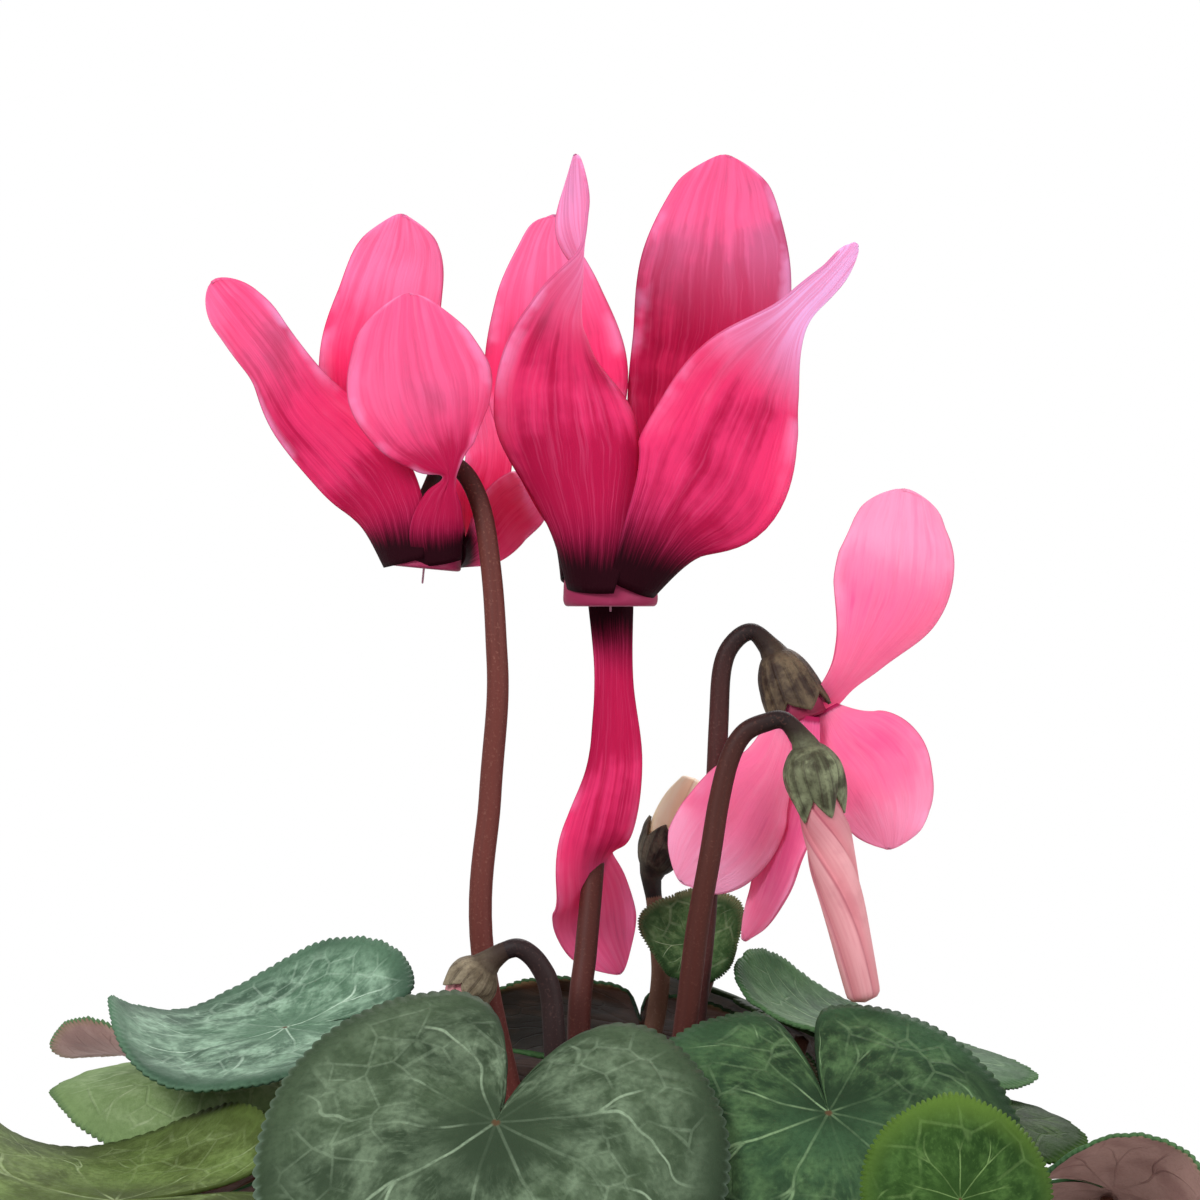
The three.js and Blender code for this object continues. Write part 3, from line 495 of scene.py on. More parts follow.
def settle(leaf):
    """Moves a leaf outward and down by whole steps to where its CAD solid lies."""
    leaf["frame"] = leaf_frame(leaf)
    points = [leaf_point(leaf, 0, 0)]
    for ring, count in SOLID_LEAF_RINGS.items():
        for corner in range(count):
            angle = (360 * corner / count + 179.99) % 360 - 179.99
            if abs(angle) < 179:
                angle += math.copysign(12 * bell(180 - abs(angle), 14), angle)
            tooth = SOLID_LEAF_TOOTH * (0.5 if corner % 2 else -0.5) if ring == 3 else 0
            points.append(leaf_point(leaf, ring / 3 * (1 + tooth), angle))
    middle = Vector([(min(p[i] for p in points) + max(p[i] for p in points)) / 2 for i in range(3)])
    low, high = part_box("leaf_" + leaf["name"])
    move = (low + high) / 2 / MM - middle
    outward = Vector((leaf["at"][0], leaf["at"][1], 0)).normalized()
    out = round(move.dot(outward) / SETTLE_STEP) * SETTLE_STEP
    down = round(-move.z / SETTLE_STEP) * SETTLE_STEP
    leaf["at"] = Vector(leaf["at"]) + outward * out - Vector((0, 0, down))


def bead(turn):
    """One round bead of the leaf's edge after another, 0 between them and 1 at their tops."""
    return abs(math.sin(math.pi * TOOTH_COUNT * turn))


def leaf_blade(leaf, rim_points, rings):
    """A blade's upper face, with its veins let in, the cushions between them and the beads of its edge."""
    shape, polar = mapped_shape("polar")
    bmesh.ops.create_grid(shape, x_segments=rings, y_segments=rim_points, size=0.5)
    size = leaf["size"]
    seed = leaf["at"] * 0.37
    flats = {}
    for vert in shape.verts:
        share = (vert.co.x + 0.5) ** 0.8
        turn = vert.co.y + 0.5
        angle = 360 * turn - 180
        rim = max(0, (share - RIM_START) / (1 - RIM_START))
        longer = 1 + TOOTH_HEIGHT / size * (bead(turn) - 0.5) * rim
        spot = Vector((math.cos(math.radians(angle)), math.sin(math.radians(angle)), 0)) * share
        wobble = 11 * share * noise.noise(spot * 2.2 + seed)
        off = (angle + wobble) / VEIN_SPACING
        beside = abs(off - round(off)) * math.radians(VEIN_SPACING) * share * size
        groove = VEIN_DEPTH * bell(beside, VEIN_WIDTH) * min(1, 8 * share) * max(0, 1 - share)
        cushion = CUSHION_HEIGHT * noise.noise(spot * 6 + seed) * share * (1 - rim)
        ripple = RIM_RIPPLE * noise.noise(spot * 9 - seed) * rim
        lift = cushion + ripple - groove - RIM_DROP * rim * rim
        flats[vert] = (0.5 + (angle + wobble) / VEIN_SPAN, share)
        vert.co = leaf_point(leaf, share * longer, angle) + lift * leaf["frame"][2]
    for face in shape.faces:
        for loop in face.loops:
            loop[polar].uv = flats[loop.vert]
    bmesh.ops.scale(shape, vec=(MM, MM, MM), verts=shape.verts)
    bmesh.ops.remove_doubles(shape, verts=shape.verts, dist=MERGE_DISTANCE)
    return shape


def leaf_veins(finish):
    """The share of the way out, the turn round the leaf, its main veins and the fine net between them."""
    off, share = finish.flat("polar")
    waver = finish.cloud(70.0, 2.0) - 0.5
    turn = (off - 0.5) * (VEIN_SPAN / VEIN_SPACING) + waver * (0.3 + share * 1.2)
    side = abs(turn - turn.math("ROUND"))
    across = share * math.radians(VEIN_SPACING)
    kept = finish.cloud(95.0, 3.0).rises(0.45, 0.6)
    strong = finish.cloud(1.0, 1.0, (turn.math("ROUND") * 3.7, 0.5, waver * 3)).rises(0.42, 0.58)
    main = (side * across).line(0.01) * (1 - share.rises(0.42, 0.62))
    main = main * (0.06 + strong * (0.16 + 0.78 * kept))
    fork = (share - 0.45).math("MAXIMUM", 0.0) * 0.9
    forked = (abs(side - fork) * across).line(0.012) * share.rises(0.42, 0.5) * (1 - share.rises(0.72, 0.9))
    cell = finish.cells(190.0).line(0.05) * share.rises(0.3, 0.55)
    net = cell * (1 - kept) * (1 - share.rises(0.82, 0.95))
    veins = main.math("MAXIMUM", forked * kept * (0.4 + 0.6 * strong))
    return share, turn, veins, net


LEAF_LOOKS = {
    "grey": ("2F3E2C", "43543D", "73866C", "A0B698", "7C917F", 0.7),
    "green": ("223622", "375438", "5C7C50", "94B284", "4C6B36", 0.6),
    "silver": ("3C5644", "54745C", "9CBCA2", "CFEAD2", "5A7A62", 0.75),
    "light": ("627A4C", "7A9260", "98AC80", "B8C8A0", "56704A", 0.5),
    "olive": ("3E4A20", "62783C", "82985A", "AEC08E", "708A52", 0.5),
    "young": ("1E3812", "2F4C1E", "52743A", "8AA868", "5E7C30", 0.45, 0.6),
    "margined": ("2B4424", "3F5C32", "708A5C", "B6C69E", "878A66", 0.5, 0.8),
    "moss": ("28442A", "42643C", "668860", "92AC84", "62805A", 0.45),
    "deep": ("18280F", "283E1A", "3E5A28", "6C8850", "3E5A24", 0.4),
}
LEAF_BACKS = {
    "dusky": ("4C2A1E", "6E4432", "341E16"),
    "rosy": ("A8867E", "92706A", "74504C"),
    "olive": ("6B5A3E", "7C7050", "4E3A2C"),
}


def leaf_finish(name, dark, middle, silver, vein, edge, marbling, margin=0.95):
    finish = Finish(name + " leaf")
    share, turn, veins, net = leaf_veins(finish)
    broad = finish.cloud(60.0, 4.0)
    fine = finish.cloud(1300.0, 4.0)
    grain = finish.cloud(5200.0, 1.0)
    finish.paint(broad.rises(0.36, 0.64), middle, dark)
    brushed = finish.cloud(1.9, 5.0, (turn * 1.3, share * 3.2, broad * 4))
    band = share.rises(0.15, 0.4) * (1 - share.rises(0.75, 0.97))
    finish.paint(brushed.rises(0.36, 0.72) * band * marbling, silver)
    flecks = finish.cloud(2.0, 5.0, (turn * 7, share * 9, broad * 2))
    finish.paint(flecks.rises(0.5, 0.72) * band * 0.3, silver)
    finish.paint((1 - flecks.rises(0.3, 0.5)) * 0.2, dark)
    finish.paint(net * 0.16, vein)
    finish.paint(veins * 0.65, vein)
    finish.paint(fine.rises(0.42, 0.7) * 0.35, dark)
    rim = (share - abs(turn) * (0.2 * (1 - margin)) - margin) * (1 / (1 - margin))
    finish.paint(rim.rises(0.0, 1.0) * (0.95 - 0.4 * broad), edge)
    finish.paint(1 - share.rises(0.01, 0.025), "54402C")
    height = brushed * 0.5 + fine * 0.4 + grain * 0.1 - veins * 0.6 - net * 0.3
    rough = 0.55 + 0.2 * fine
    return finish.end(rough, (height, 0.45, 0.0006), 0.1, "5C7A35", 0.05)


def leaf_back_finish(name, base_colour, patch_colour, vein):
    finish = Finish(name + " leaf underside")
    share, _, veins, net = leaf_veins(finish)
    mottle = finish.cloud(140.0, 6.0)
    grain = finish.cloud(2600.0, 3.0)
    finish.paint(mottle.rises(0.42, 0.62), patch_colour, base_colour)
    finish.paint(veins * 0.5, vein)
    finish.paint(net * 0.3, vein)
    finish.paint(grain.rises(0.45, 0.7) * 0.2, vein)
    finish.paint(share.rises(0.93, 1.0) * 0.5, "6F6A45")
    height = mottle * 0.4 + veins + net * 0.4 + grain * 0.2
    return finish.end(0.65, (height, 0.5, 0.0006), 0.25, "6A2C30", 0.06)


leaf_tops = {name: leaf_finish(name, *look) for name, look in LEAF_LOOKS.items()}
leaf_backs = {name: leaf_back_finish(name, *look) for name, look in LEAF_BACKS.items()}

placed_leaves = LEAVES + [leaf for tier in TIERS for leaf in tier_leaves(tier)]
for leaf in placed_leaves:
    settle(leaf)
    leaf.update(leaf.get("grown", {}))
    in_sight = leaf in LEAVES
    rim_points = TOOTH_COUNT * (TOOTH_POINTS if in_sight else HIDDEN_TOOTH_POINTS)
    made = piece(
        "blade_" + leaf["name"],
        leaf_blade(leaf, rim_points, LEAF_RINGS if in_sight else HIDDEN_LEAF_RINGS),
        [leaf_tops[leaf["look"]], leaf_backs[leaf.get("below", "dusky")]],
        leaf.get("slot", "leaf"),
        "leaf_" + leaf["name"],
        thickness=LEAF_THICKNESS,
    )
    made.modifiers["thickness"].material_offset = 1


# The tuber and the leaf stalks: a flattened brown corky tuber half out of the soil, and the long
# red-brown stalks that grow from its top, lean out and carry one leaf each.
TUBER_RADIUS = 22
TUBER_TOP = 103
TUBER_BOTTOM = 86
TUBER_TURNS = 64
TUBER_LUMP = 0.035
TUBER_SWELL = 0.5
LEAF_STALK_LOW_RADIUS = 1.5
LEAF_STALK_HIGH_RADIUS = 1.15
LEAF_STALK_ROOT = 11
LEAF_STALK_DEPTH = 5
LEAF_STALK_LEAN = 0.5
LEAF_STALK_RISE = 0.6
LEAF_STALK_SINK = 0.35
LEAF_STALK_SIDES = 12
LEAF_STALK_STEPS = 42
SOLID_LEAF_THICKNESS = 0.7
GAP = 0.3
SLOPE_STEP = 1e-3
END_SHARE = 1e-6


def smooth_row(rows, t):
    """A row on the smooth line through rows of numbers, with equal steps between the rows."""
    last = len(rows) - 1
    place = min(max(t, 0), 1) * last
    start = min(int(place), last - 1)
    f = place - start
    p1 = rows[start]
    p2 = rows[start + 1]
    p0 = rows[start - 1] if start else [2 * a - b for a, b in zip(p1, p2)]
    p3 = rows[start + 2] if start + 2 <= last else [2 * b - a for a, b in zip(p1, p2)]
    return [
        0.5 * (2 * b + (c - a) * f + (2 * a - 5 * b + 4 * c - d) * f * f + (3 * b - a - 3 * c + d) * f**3)
        for a, b, c, d in zip(p0, p1, p2, p3)
    ]


def direction_at(rows, t):
    """The direction of the smooth line through rows that start with a point."""
    ahead = Vector(smooth_row(rows, min(t + SLOPE_STEP, 1))[:3])
    return (ahead - Vector(smooth_row(rows, max(t - SLOPE_STEP, 0))[:3])).normalized()


def closed(radius, along):
    """A radius that is drawn to a point at both ends of a shape."""
    return 0 if along < END_SHARE or along > 1 - END_SHARE else radius


def add_grid(shape, columns, rows, point_at, layer=None, marks=None, mark=None):
    """Adds a grid of faces to a shape, with its points where point_at puts their shares from 0 to 1."""
    verts = bmesh.ops.create_grid(shape, x_segments=columns, y_segments=rows, size=0.5)["verts"]
    faces = {face for vert in verts for face in vert.link_faces}
    if layer:
        for loop in [loop for face in faces for loop in face.loops]:
            loop[layer].uv = (loop.vert.co.x + 0.5, loop.vert.co.y + 0.5)
            if marks:
                loop[marks] = mark
    for vert in verts:
        vert.co = point_at(vert.co.x + 0.5, vert.co.y + 0.5) * MM
    bmesh.ops.remove_doubles(shape, verts=verts, dist=MERGE_DISTANCE)
    return faces


def add_stalk(shape, rows, low_radius, high_radius, sides, steps, layer):
    """Adds a round tapering stalk along the smooth line through rows of points, closed at both ends."""
    rings = []
    normal = Vector((1, 0, 0))
    for step in range(steps + 1):
        t = step / steps
        along = direction_at(rows, t)
        normal = (normal - along * normal.dot(along)).normalized()
        radius = low_radius + (high_radius - low_radius) * t
        rings.append((Vector(smooth_row(rows, t)), normal.copy(), along.cross(normal), radius))

    def point_at(around, along):
        place, side, other, radius = rings[round(along * steps)]
        angle = 2 * math.pi * around
        return place + closed(radius, along) * (math.cos(angle) * side + math.sin(angle) * other)

    return add_grid(shape, sides, steps, point_at, layer)


def stalk_finish(name, low, high, fleck, dark_share):
    finish = Finish(name)
    around, along = finish.flat("stalk")
    flecks = finish.cloud(2600.0, 2.0).rises(0.55, 0.75)
    streaks = finish.cloud(1.0, 4.0, (around * 9, along * 5))
    finish.paint(along.rises(0.45, 0.88) * dark_share, high, low)
    finish.paint(streaks.rises(0.4, 0.7) * 0.25, high)
    finish.paint(flecks * 0.3, fleck)
    return finish.end(0.6, (flecks * 0.4 + streaks * 0.6, 0.25, 0.0003), 0.25)


def tuber_finish():
    finish = Finish("corky tuber")
    cracks = finish.cells(320.0)
    mottle = finish.cloud(150.0, 5.0)
    finish.paint(mottle.rises(0.35, 0.7), "7A5A42", "4A3324")
    finish.paint(cracks.line(0.12) * 0.7, "2C1D14")
    return finish.end(0.85, (cracks.rises(0.0, 0.2) + mottle, 0.7, 0.0012))


crown, stalk_layer = mapped_shape("stalk")
tuber_middle = (TUBER_TOP + TUBER_BOTTOM) / 2
tuber_half = (TUBER_TOP - TUBER_BOTTOM) / 2
tuber_profile = []
for angle in range(-90, 91, 6):
    reach = TUBER_RADIUS * max(math.cos(math.radians(angle)), 0) ** 0.7
    tuber_profile.append((reach, tuber_middle + tuber_half * math.sin(math.radians(angle))))
spun(crown, tuber_profile, TUBER_TURNS)
for vert in crown.verts:
    lump = 1 + TUBER_LUMP * noise.noise(vert.co / (7 * MM))
    vert.co.x *= lump
    vert.co.y *= lump
    vert.co.z += TUBER_SWELL * MM * noise.noise(vert.co / (5 * MM))
for leaf in placed_leaves:
    seat = Vector(leaf["at"])
    outward = Vector((seat.x, seat.y, 0))
    base_point = outward.normalized() * LEAF_STALK_ROOT + Vector((0, 0, TUBER_TOP - LEAF_STALK_DEPTH))
    middle = outward * LEAF_STALK_LEAN
    middle.z = base_point.z + (seat.z - base_point.z) * LEAF_STALK_RISE
    if "by" in leaf:
        middle = Vector(leaf["by"])
    inward, drop = leaf.get("arrive", (5, 8))
    below = seat - outward.normalized() * inward - Vector((0, 0, drop))
    up = leaf["frame"][2]
    slant = up.angle(seat - below)
    clearance = SOLID_LEAF_THICKNESS / 2 + GAP + LEAF_STALK_HIGH_RADIUS * math.sin(slant)
    end = seat - up * (clearance - LEAF_STALK_SINK)
    rows = [tuple(base_point), tuple(middle), tuple(below), tuple(end)]
    radii = (LEAF_STALK_LOW_RADIUS, LEAF_STALK_HIGH_RADIUS)
    for face in add_stalk(crown, rows, *radii, LEAF_STALK_SIDES, LEAF_STALK_STEPS, stalk_layer):
        face.material_index = 1
face_outward(crown)
crown_finishes = [tuber_finish(), stalk_finish("leaf stalk", "4C2620", "62402F", "8A6654", 0.5)]
piece("tuber_with_leaf_stalks", crown, crown_finishes, "leaf_stalk", "tuber_and_leaf_stalks")


# The flowers: five petals turned back over the mouth of one short tube, thin, satiny and lit through
# by what is behind them, with a wine-dark band round the mouth.
PETAL_THICKNESS = 0.45
PETAL_COLUMNS = 22
PETAL_LENGTHS = 76
TIP_CLOSENESS = 1.35
TIP_START = 0.88
TIP_LEFT = 0.001
TUBE_WALL = 0.8
TUBE_SIDES = 48
TUBE_LENGTHS = 32
LIP_START = 0.8
LIP_RADIUS = 0.2
EDGE_RIPPLE = 0.7
FOLD_DEPTH = 0.28
RIB_HEIGHT = 0.05
VIEW_LINE = Vector((0, 1, 0))
# Each flower's tones give, for every petal, its paleness, which is partly its own tone and partly painted
# light, the share of painted glow at its tip, and the height of its dark eye band in millimetres.
FLOWERS = {
    "left": dict(
        mouth=(-25, -2, 227), axis=(1, 0, 10.5), radius=5.4, length=9, collar=0.3, finish="petal",
        tones_and_light=((0.25, 0.15, 5), (0.65, 0.35, 4), (0.3, 0.2, 4.5), (0.95, 0.4, 3), (1.1, 0.4, 3)),
        petals=[
            [
                (-3.4, -4, 0, 4.1, -40, 36), (-5.5, -4.5, 8, 6.2, -30, 25), (-10, -4.5, 14.5, 7, -20, 20),
                (-17, -4, 21.5, 6.2, -20, 25), (-21.5, -3, 28.5, 5.2, -25, 35),
                (-26, -2, 34.5, 5, -25, 30), (-30, -1, 40, 3.6, -25, 0),
            ],
            [
                (-1, 5.2, 1, 3.6, 160, 36), (-4, 7, 11.5, 4.5, 90, 20), (-7, 8, 20.5, 7.6, 20, 15),
                (-7.5, 8, 30, 8.2, 5, 15), (-5.5, 8, 38.5, 7.6, 0, 10), (-4, 7, 45.5, 6.2, 0, 10),
                (-3.5, 6, 50.5, 2.6, 0, 0),
            ],
            [
                (2.6, -4.8, 0, 3.4, 14, 36), (2.2, -6.2, 4.5, 3.9, 10, 30), (3, -7.6, 8.8, 2.7, 0, 20),
                (4, -8.8, 12.2, 0.9, 0, 10), (3, -9.8, 15, 4.8, 0, 10), (1.4, -10.8, 19.4, 8.6, 0, 14),
                (0, -11.6, 24.8, 10.2, 0, 12), (-1, -12, 31, 8.2, 0, 8), (-1.3, -11.4, 37.3, 4.6, 0, 0),
            ],
            [
                (4.2, 3.6, 0.5, 3.4, 125, 36), (6.5, 10, 8, 5, 50, 20), (8.5, 17, 15, 3.6, 20, 10),
                (8, 20, 22, 3.6, 10, 5), (7, 21, 28, 1.5, 0, 0),
            ],
            [
                (5.4, 0, 0.5, 3.2, 80, 36), (9, 4, 4, 4.4, 40, 20), (12, 11, 8, 4.8, 20, 15),
                (14.5, 17, 10.5, 4.2, 10, 0), (17, 20, 12.5, 1.6, 0, 0),
            ],
        ],
    ),
    "centre": dict(
        mouth=(1.5, 0, 223), axis=(0, 0, 1), radius=6.9, length=10.5, collar=1.7, finish="petal",
        tones_and_light=((0.2, 0.65, 7), (0.5, 1, 7), (0.08, 0.25, 6), (0.45, 0.35, 6), (0.4, 0.3, 5)),
        petals=[
            [
                (-3.5, -6, 0, 4.2, -36, 36), (-4, -8, 9, 7.2, -25, 45), (-5.5, -10, 20, 10.4, -5, 45),
                (-6.5, -10.5, 29.5, 9.8, 28, 30), (-6, -9.5, 38, 8.2, 60, 20), (-4, -8, 45.5, 7, 88, 10),
                (-5, -7.5, 52.5, 6.5, 112, 5), (-5, -7, 61.5, 4.5, 108, 0),
            ],
            [
                (3.5, -6, 0, 4.2, 36, 36), (8, -8, 8, 7, 30, 15), (13.6, -8, 15.5, 11.4, 15, 10),
                (17.5, -7, 25, 10.2, 12, 10), (21, -6, 31.5, 8.6, 30, 10), (25.5, -5, 38.5, 5.4, 60, 0),
                (30.5, -4, 44, 4.5, 66, 0), (35, -3, 49.3, 2.6, 62, 0),
            ],
            [
                (6.5, 2, 2, 4.2, 108, 36), (8.5, 6, 13, 6, 60, 20), (11.5, 9, 24, 9.5, 20, 20),
                (14.5, 11, 36.5, 11.4, 5, 20), (15.5, 11, 48, 11.2, 0, 15), (16.5, 10, 57.5, 8, 0, 10),
                (17, 9, 63.8, 4, 0, 0),
            ],
            [
                (-6.5, 2, 1.5, 4.2, -108, 36), (-8.5, 5, 12, 7, -70, 30), (-8, 8, 22.5, 10, -35, 20),
                (-8.3, 11, 34, 10.8, -8, 20), (-9, 13, 44.5, 7.8, 0, 15), (-9, 13, 51.5, 4.2, 0, 10),
                (-8, 12.5, 55.5, 2, 0, 0),
            ],
            [
                (0, 6.9, 0.4, 3.4, 0, 20), (0.5, 5, -12.5, 2.8, 0, 25), (0.5, 2.2, -24, 4.2, 10, 40),
                (-1.2, -0.8, -33, 5.2, -10, 40), (-3, 1.6, -39, 5.2, -38, 30),
                (-2.4, 6, -44.5, 6.4, -28, 22), (-1.4, 8.6, -50, 5.8, -5, 18),
                (1.5, 9.5, -55.5, 2.4, 0, 10),
            ],
        ],
    ),
    "right": dict(
        mouth=(29, 3, 205), axis=(-3.5, 1, 8.5), radius=3.9, length=9.8, collar=0.3, finish="paler_petal",
        tones_and_light=((0.8, 0.3, 0.5), (0.9, 0.3, 0.5), (0.4, 0.1, 0.5), (0.9, 0.4, 0.5), (0.5, 0.1, 0.5)),
        petals=[
            [
                (1.2, 3.2, 0.3, 1.8, 0, 30), (5, 0, 4, 2.6, 40, 20), (8.5, -1.5, 9, 4.6, 30, 20),
                (12, -2, 16, 8, 8, 15), (13.5, -2, 22.5, 8.4, 0, 10), (14, -1.5, 28, 6.6, 0, 10),
                (14.5, -1, 32.8, 4.2, 0, 0),
            ],
            [
                (3.3, -0.8, 1.2, 2, 0, 30), (5.5, -2, -2.5, 6.2, 0, 20), (9, -3, -6.5, 8.8, 0, 15),
                (11, -3.5, -10.5, 8, 0, 10), (12, -3, -14.5, 6.2, 0, 10), (12.5, -2.5, -18.5, 2.6, 0, 0),
            ],
            [
                (0.4, -3.5, 0.5, 2, 0, 30), (-1, -3, -8.5, 3.4, 30, 15), (-2.5, -4, -16, 4, 40, 10),
                (-4, -4, -22, 3.6, 40, 0), (-6, -3.5, -27, 2.6, 40, 0), (-8.5, -3, -31.5, 1, 40, 0),
            ],
            [
                (-2.9, -2, -0.8, 2, 0, 30), (-5, -4, -6.5, 4, 0, 15), (-8, -5, -11, 6.6, 0, 12),
                (-11, -5, -16, 7.5, 0, 10), (-14.5, -4.5, -20, 6.4, 0, 5), (-17.5, -4, -23, 2.8, 0, 0),
            ],
            [
                (-2.6, 2.3, -1.2, 1.8, 0, 30), (-4, 3.5, -5.5, 3.4, 0, 15), (-6.5, 5, -10.5, 4.4, 10, 10),
                (-9, 5.5, -16, 4, 10, 5), (-11, 5.5, -19.5, 1.5, 10, 0),
            ],
        ],
    ),
}


def round_end(share, start):
    """1 up to the start of an end, then down to 0 in a round curve."""
    return math.sqrt(max(0, 1 - (max(0, share - start) / (1 - start)) ** 2))


def petal_point(rows, mouth, t, share_across, number):
    """A point of a petal's middle surface, with the ripple of its edges and the shallow fold down it."""
    t = 1 - (1 - t) ** TIP_CLOSENESS
    across = 2 * share_across - 1
    seed = 10 * number + 3
    x, y, z, half_width, roll, cupping = smooth_row(rows, t)
    along = direction_at(rows, t)
    side = VIEW_LINE.cross(along).normalized()
    face = side.cross(along)
    turn = Quaternion(along, math.radians(roll))
    side.rotate(turn)
    face.rotate(turn)
    half_width *= round_end(t, TIP_START) * (1 - TIP_LEFT) + TIP_LEFT
    bend = max(math.radians(cupping), 0.01)
    reach = half_width * math.sin(bend * across) / bend
    depth = -half_width * (1 - math.cos(bend * across)) / bend
    free = min(1, 3 * t)
    ripple = EDGE_RIPPLE * noise.noise(Vector((across * 0.6, t * 7, seed))) * abs(across) ** 3
    fold = FOLD_DEPTH * bell(across, 0.12) * (1 - t)
    ribs = RIB_HEIGHT * noise.noise(Vector((across * 14, t * 2, seed)))
    depth += free * (ripple - fold + ribs)
    return Vector((x, y, z)) + mouth + reach * side + depth * face


def dome_point(dome, angle, outward):
    """Radius and height of a domed tube, from its top on the axis at 0 down to its mouth at 90 degrees."""
    radius = dome["radius"] * math.sin(math.radians(angle)) ** 0.8
    height = dome["length"] * math.cos(math.radians(angle))
    height += outward * math.cos(math.radians(angle))
    return radius + outward * math.sin(math.radians(angle)), height


def on_axis(dome, radius, turn, height):
    """A point round a flower's or bud's own axis."""
    tilt = Vector((0, 0, 1)).rotation_difference(Vector(dome["axis"]))
    spot = Vector((radius * math.cos(turn), radius * math.sin(turn), height))
    spot.rotate(tilt)
    return spot + Vector(dome["mouth"])


def petal_finish(name, deep, body, pale, glow_lilac, glow, eye):
    finish = Finish(name)
    across, along = finish.flat("petal")
    along = 1 - (1 - along).math("POWER", TIP_CLOSENESS)
    tone_and_light, length, tip_glow_share = finish.parts(finish.marked("tone_and_light"))
    band = finish.marked("tone_and_light", "Alpha")
    grown = along * length
    past = (along - TIP_START).math("MAXIMUM", 0.0) * (1 / (1 - TIP_START))
    taper = (1 - past * past).math("MAXIMUM", 0.0).math("SQRT")
    beside = 1 - abs(across * 2 - 1)
    drift = finish.cloud(60.0, 4.0)
    blotch = finish.cloud(130.0, 3.0)
    bend = (across - 0.5) * taper * 17 + drift * 3 + tone_and_light * 40
    wide = finish.cloud(1.0, 3.0, (bend, along * 2.4, drift))
    fine = finish.cloud(1.0, 3.0, (bend * 4.2, along * 6.0, blotch))
    dusk = finish.cloud(1.0, 3.0, (bend * 0.6, along * 2.2, drift * 4))
    rim = 1 - beside.rises(0.0, 0.45)
    # Partly tone and partly painted light: each petal's paleness is set partly for how it is lit, and it is
    # painted paler toward the thin tip and along the edges.
    paleness_and_light = tone_and_light + (drift - 0.5) * 2.2 + (wide - 0.5) * 0.9 + rim * 0.2 - 0.05
    paleness_and_light = paleness_and_light + along.rises(0.5, 1.0) * 0.35 - (1 - grown.rises(6, 26)) * 0.45
    finish.paint(paleness_and_light.rises(0.0, 0.5), body, deep)
    finish.paint(paleness_and_light.rises(0.45, 1.1) * 0.9, pale)
    finish.paint(fine.rises(0.5, 0.72) * 0.14, pale)
    finish.paint((1 - fine.rises(0.3, 0.46)) * 0.24, deep)
    finish.paint(dusk.rises(0.56, 0.7) * along.rises(0.3, 0.6) * 0.2, "A43E64")
    # Painted light in lilac: a highlight along one edge of each petal, and a glow at its thin tip for light
    # coming through it.
    painted_edge_highlight = (1 - beside.rises(0.03, 0.32)) * blotch.rises(0.38, 0.62) * along.rises(0.3, 0.5) * 0.5
    painted_tip_glow = along.rises(0.48, 0.78) * tip_glow_share * (0.7 + 0.3 * wide.rises(0.4, 0.6))
    finish.paint(painted_edge_highlight.math("MAXIMUM", painted_tip_glow), glow_lilac)
    finish.paint(beside.line(0.022) * 0.5 * (1 - along.rises(0.9, 0.97)), "9C2A58")
    fray = grown + (fine - 0.5) * band * 0.8
    stain = 1 - fray.rises(band * 0.8, band * 1.8)
    finish.paint(stain * 0.8, "70092E")
    finish.paint(1 - fray.rises(band * 0.5, band * 1.3), eye)
    lit = (0.24 + 0.22 * paleness_and_light.rises(0.0, 0.8)) * (1 - stain) * (1 - 0.65 * painted_tip_glow)
    return finish.end(0.6, (fine * 0.5 + wide, 0.3, 0.0004), 0.05, glow, lit)


def throat_finish(name, outside, inside):
    finish = Finish(name)
    _, along = finish.flat("petal")
    mottle = finish.cloud(500.0)
    finish.paint(along.rises(0.5, 0.8), inside, outside)
    finish.paint(mottle.rises(0.5, 0.8) * 0.3, "B04A70")
    # A painted highlight along the rolled edge of the lip.
    finish.paint(along.rises(0.94, 1.0) * 0.55, "E0A0BC")
    return finish.end(0.5, (mottle, 0.2, 0.0002), 0.2, "A02A5C", 0.15)


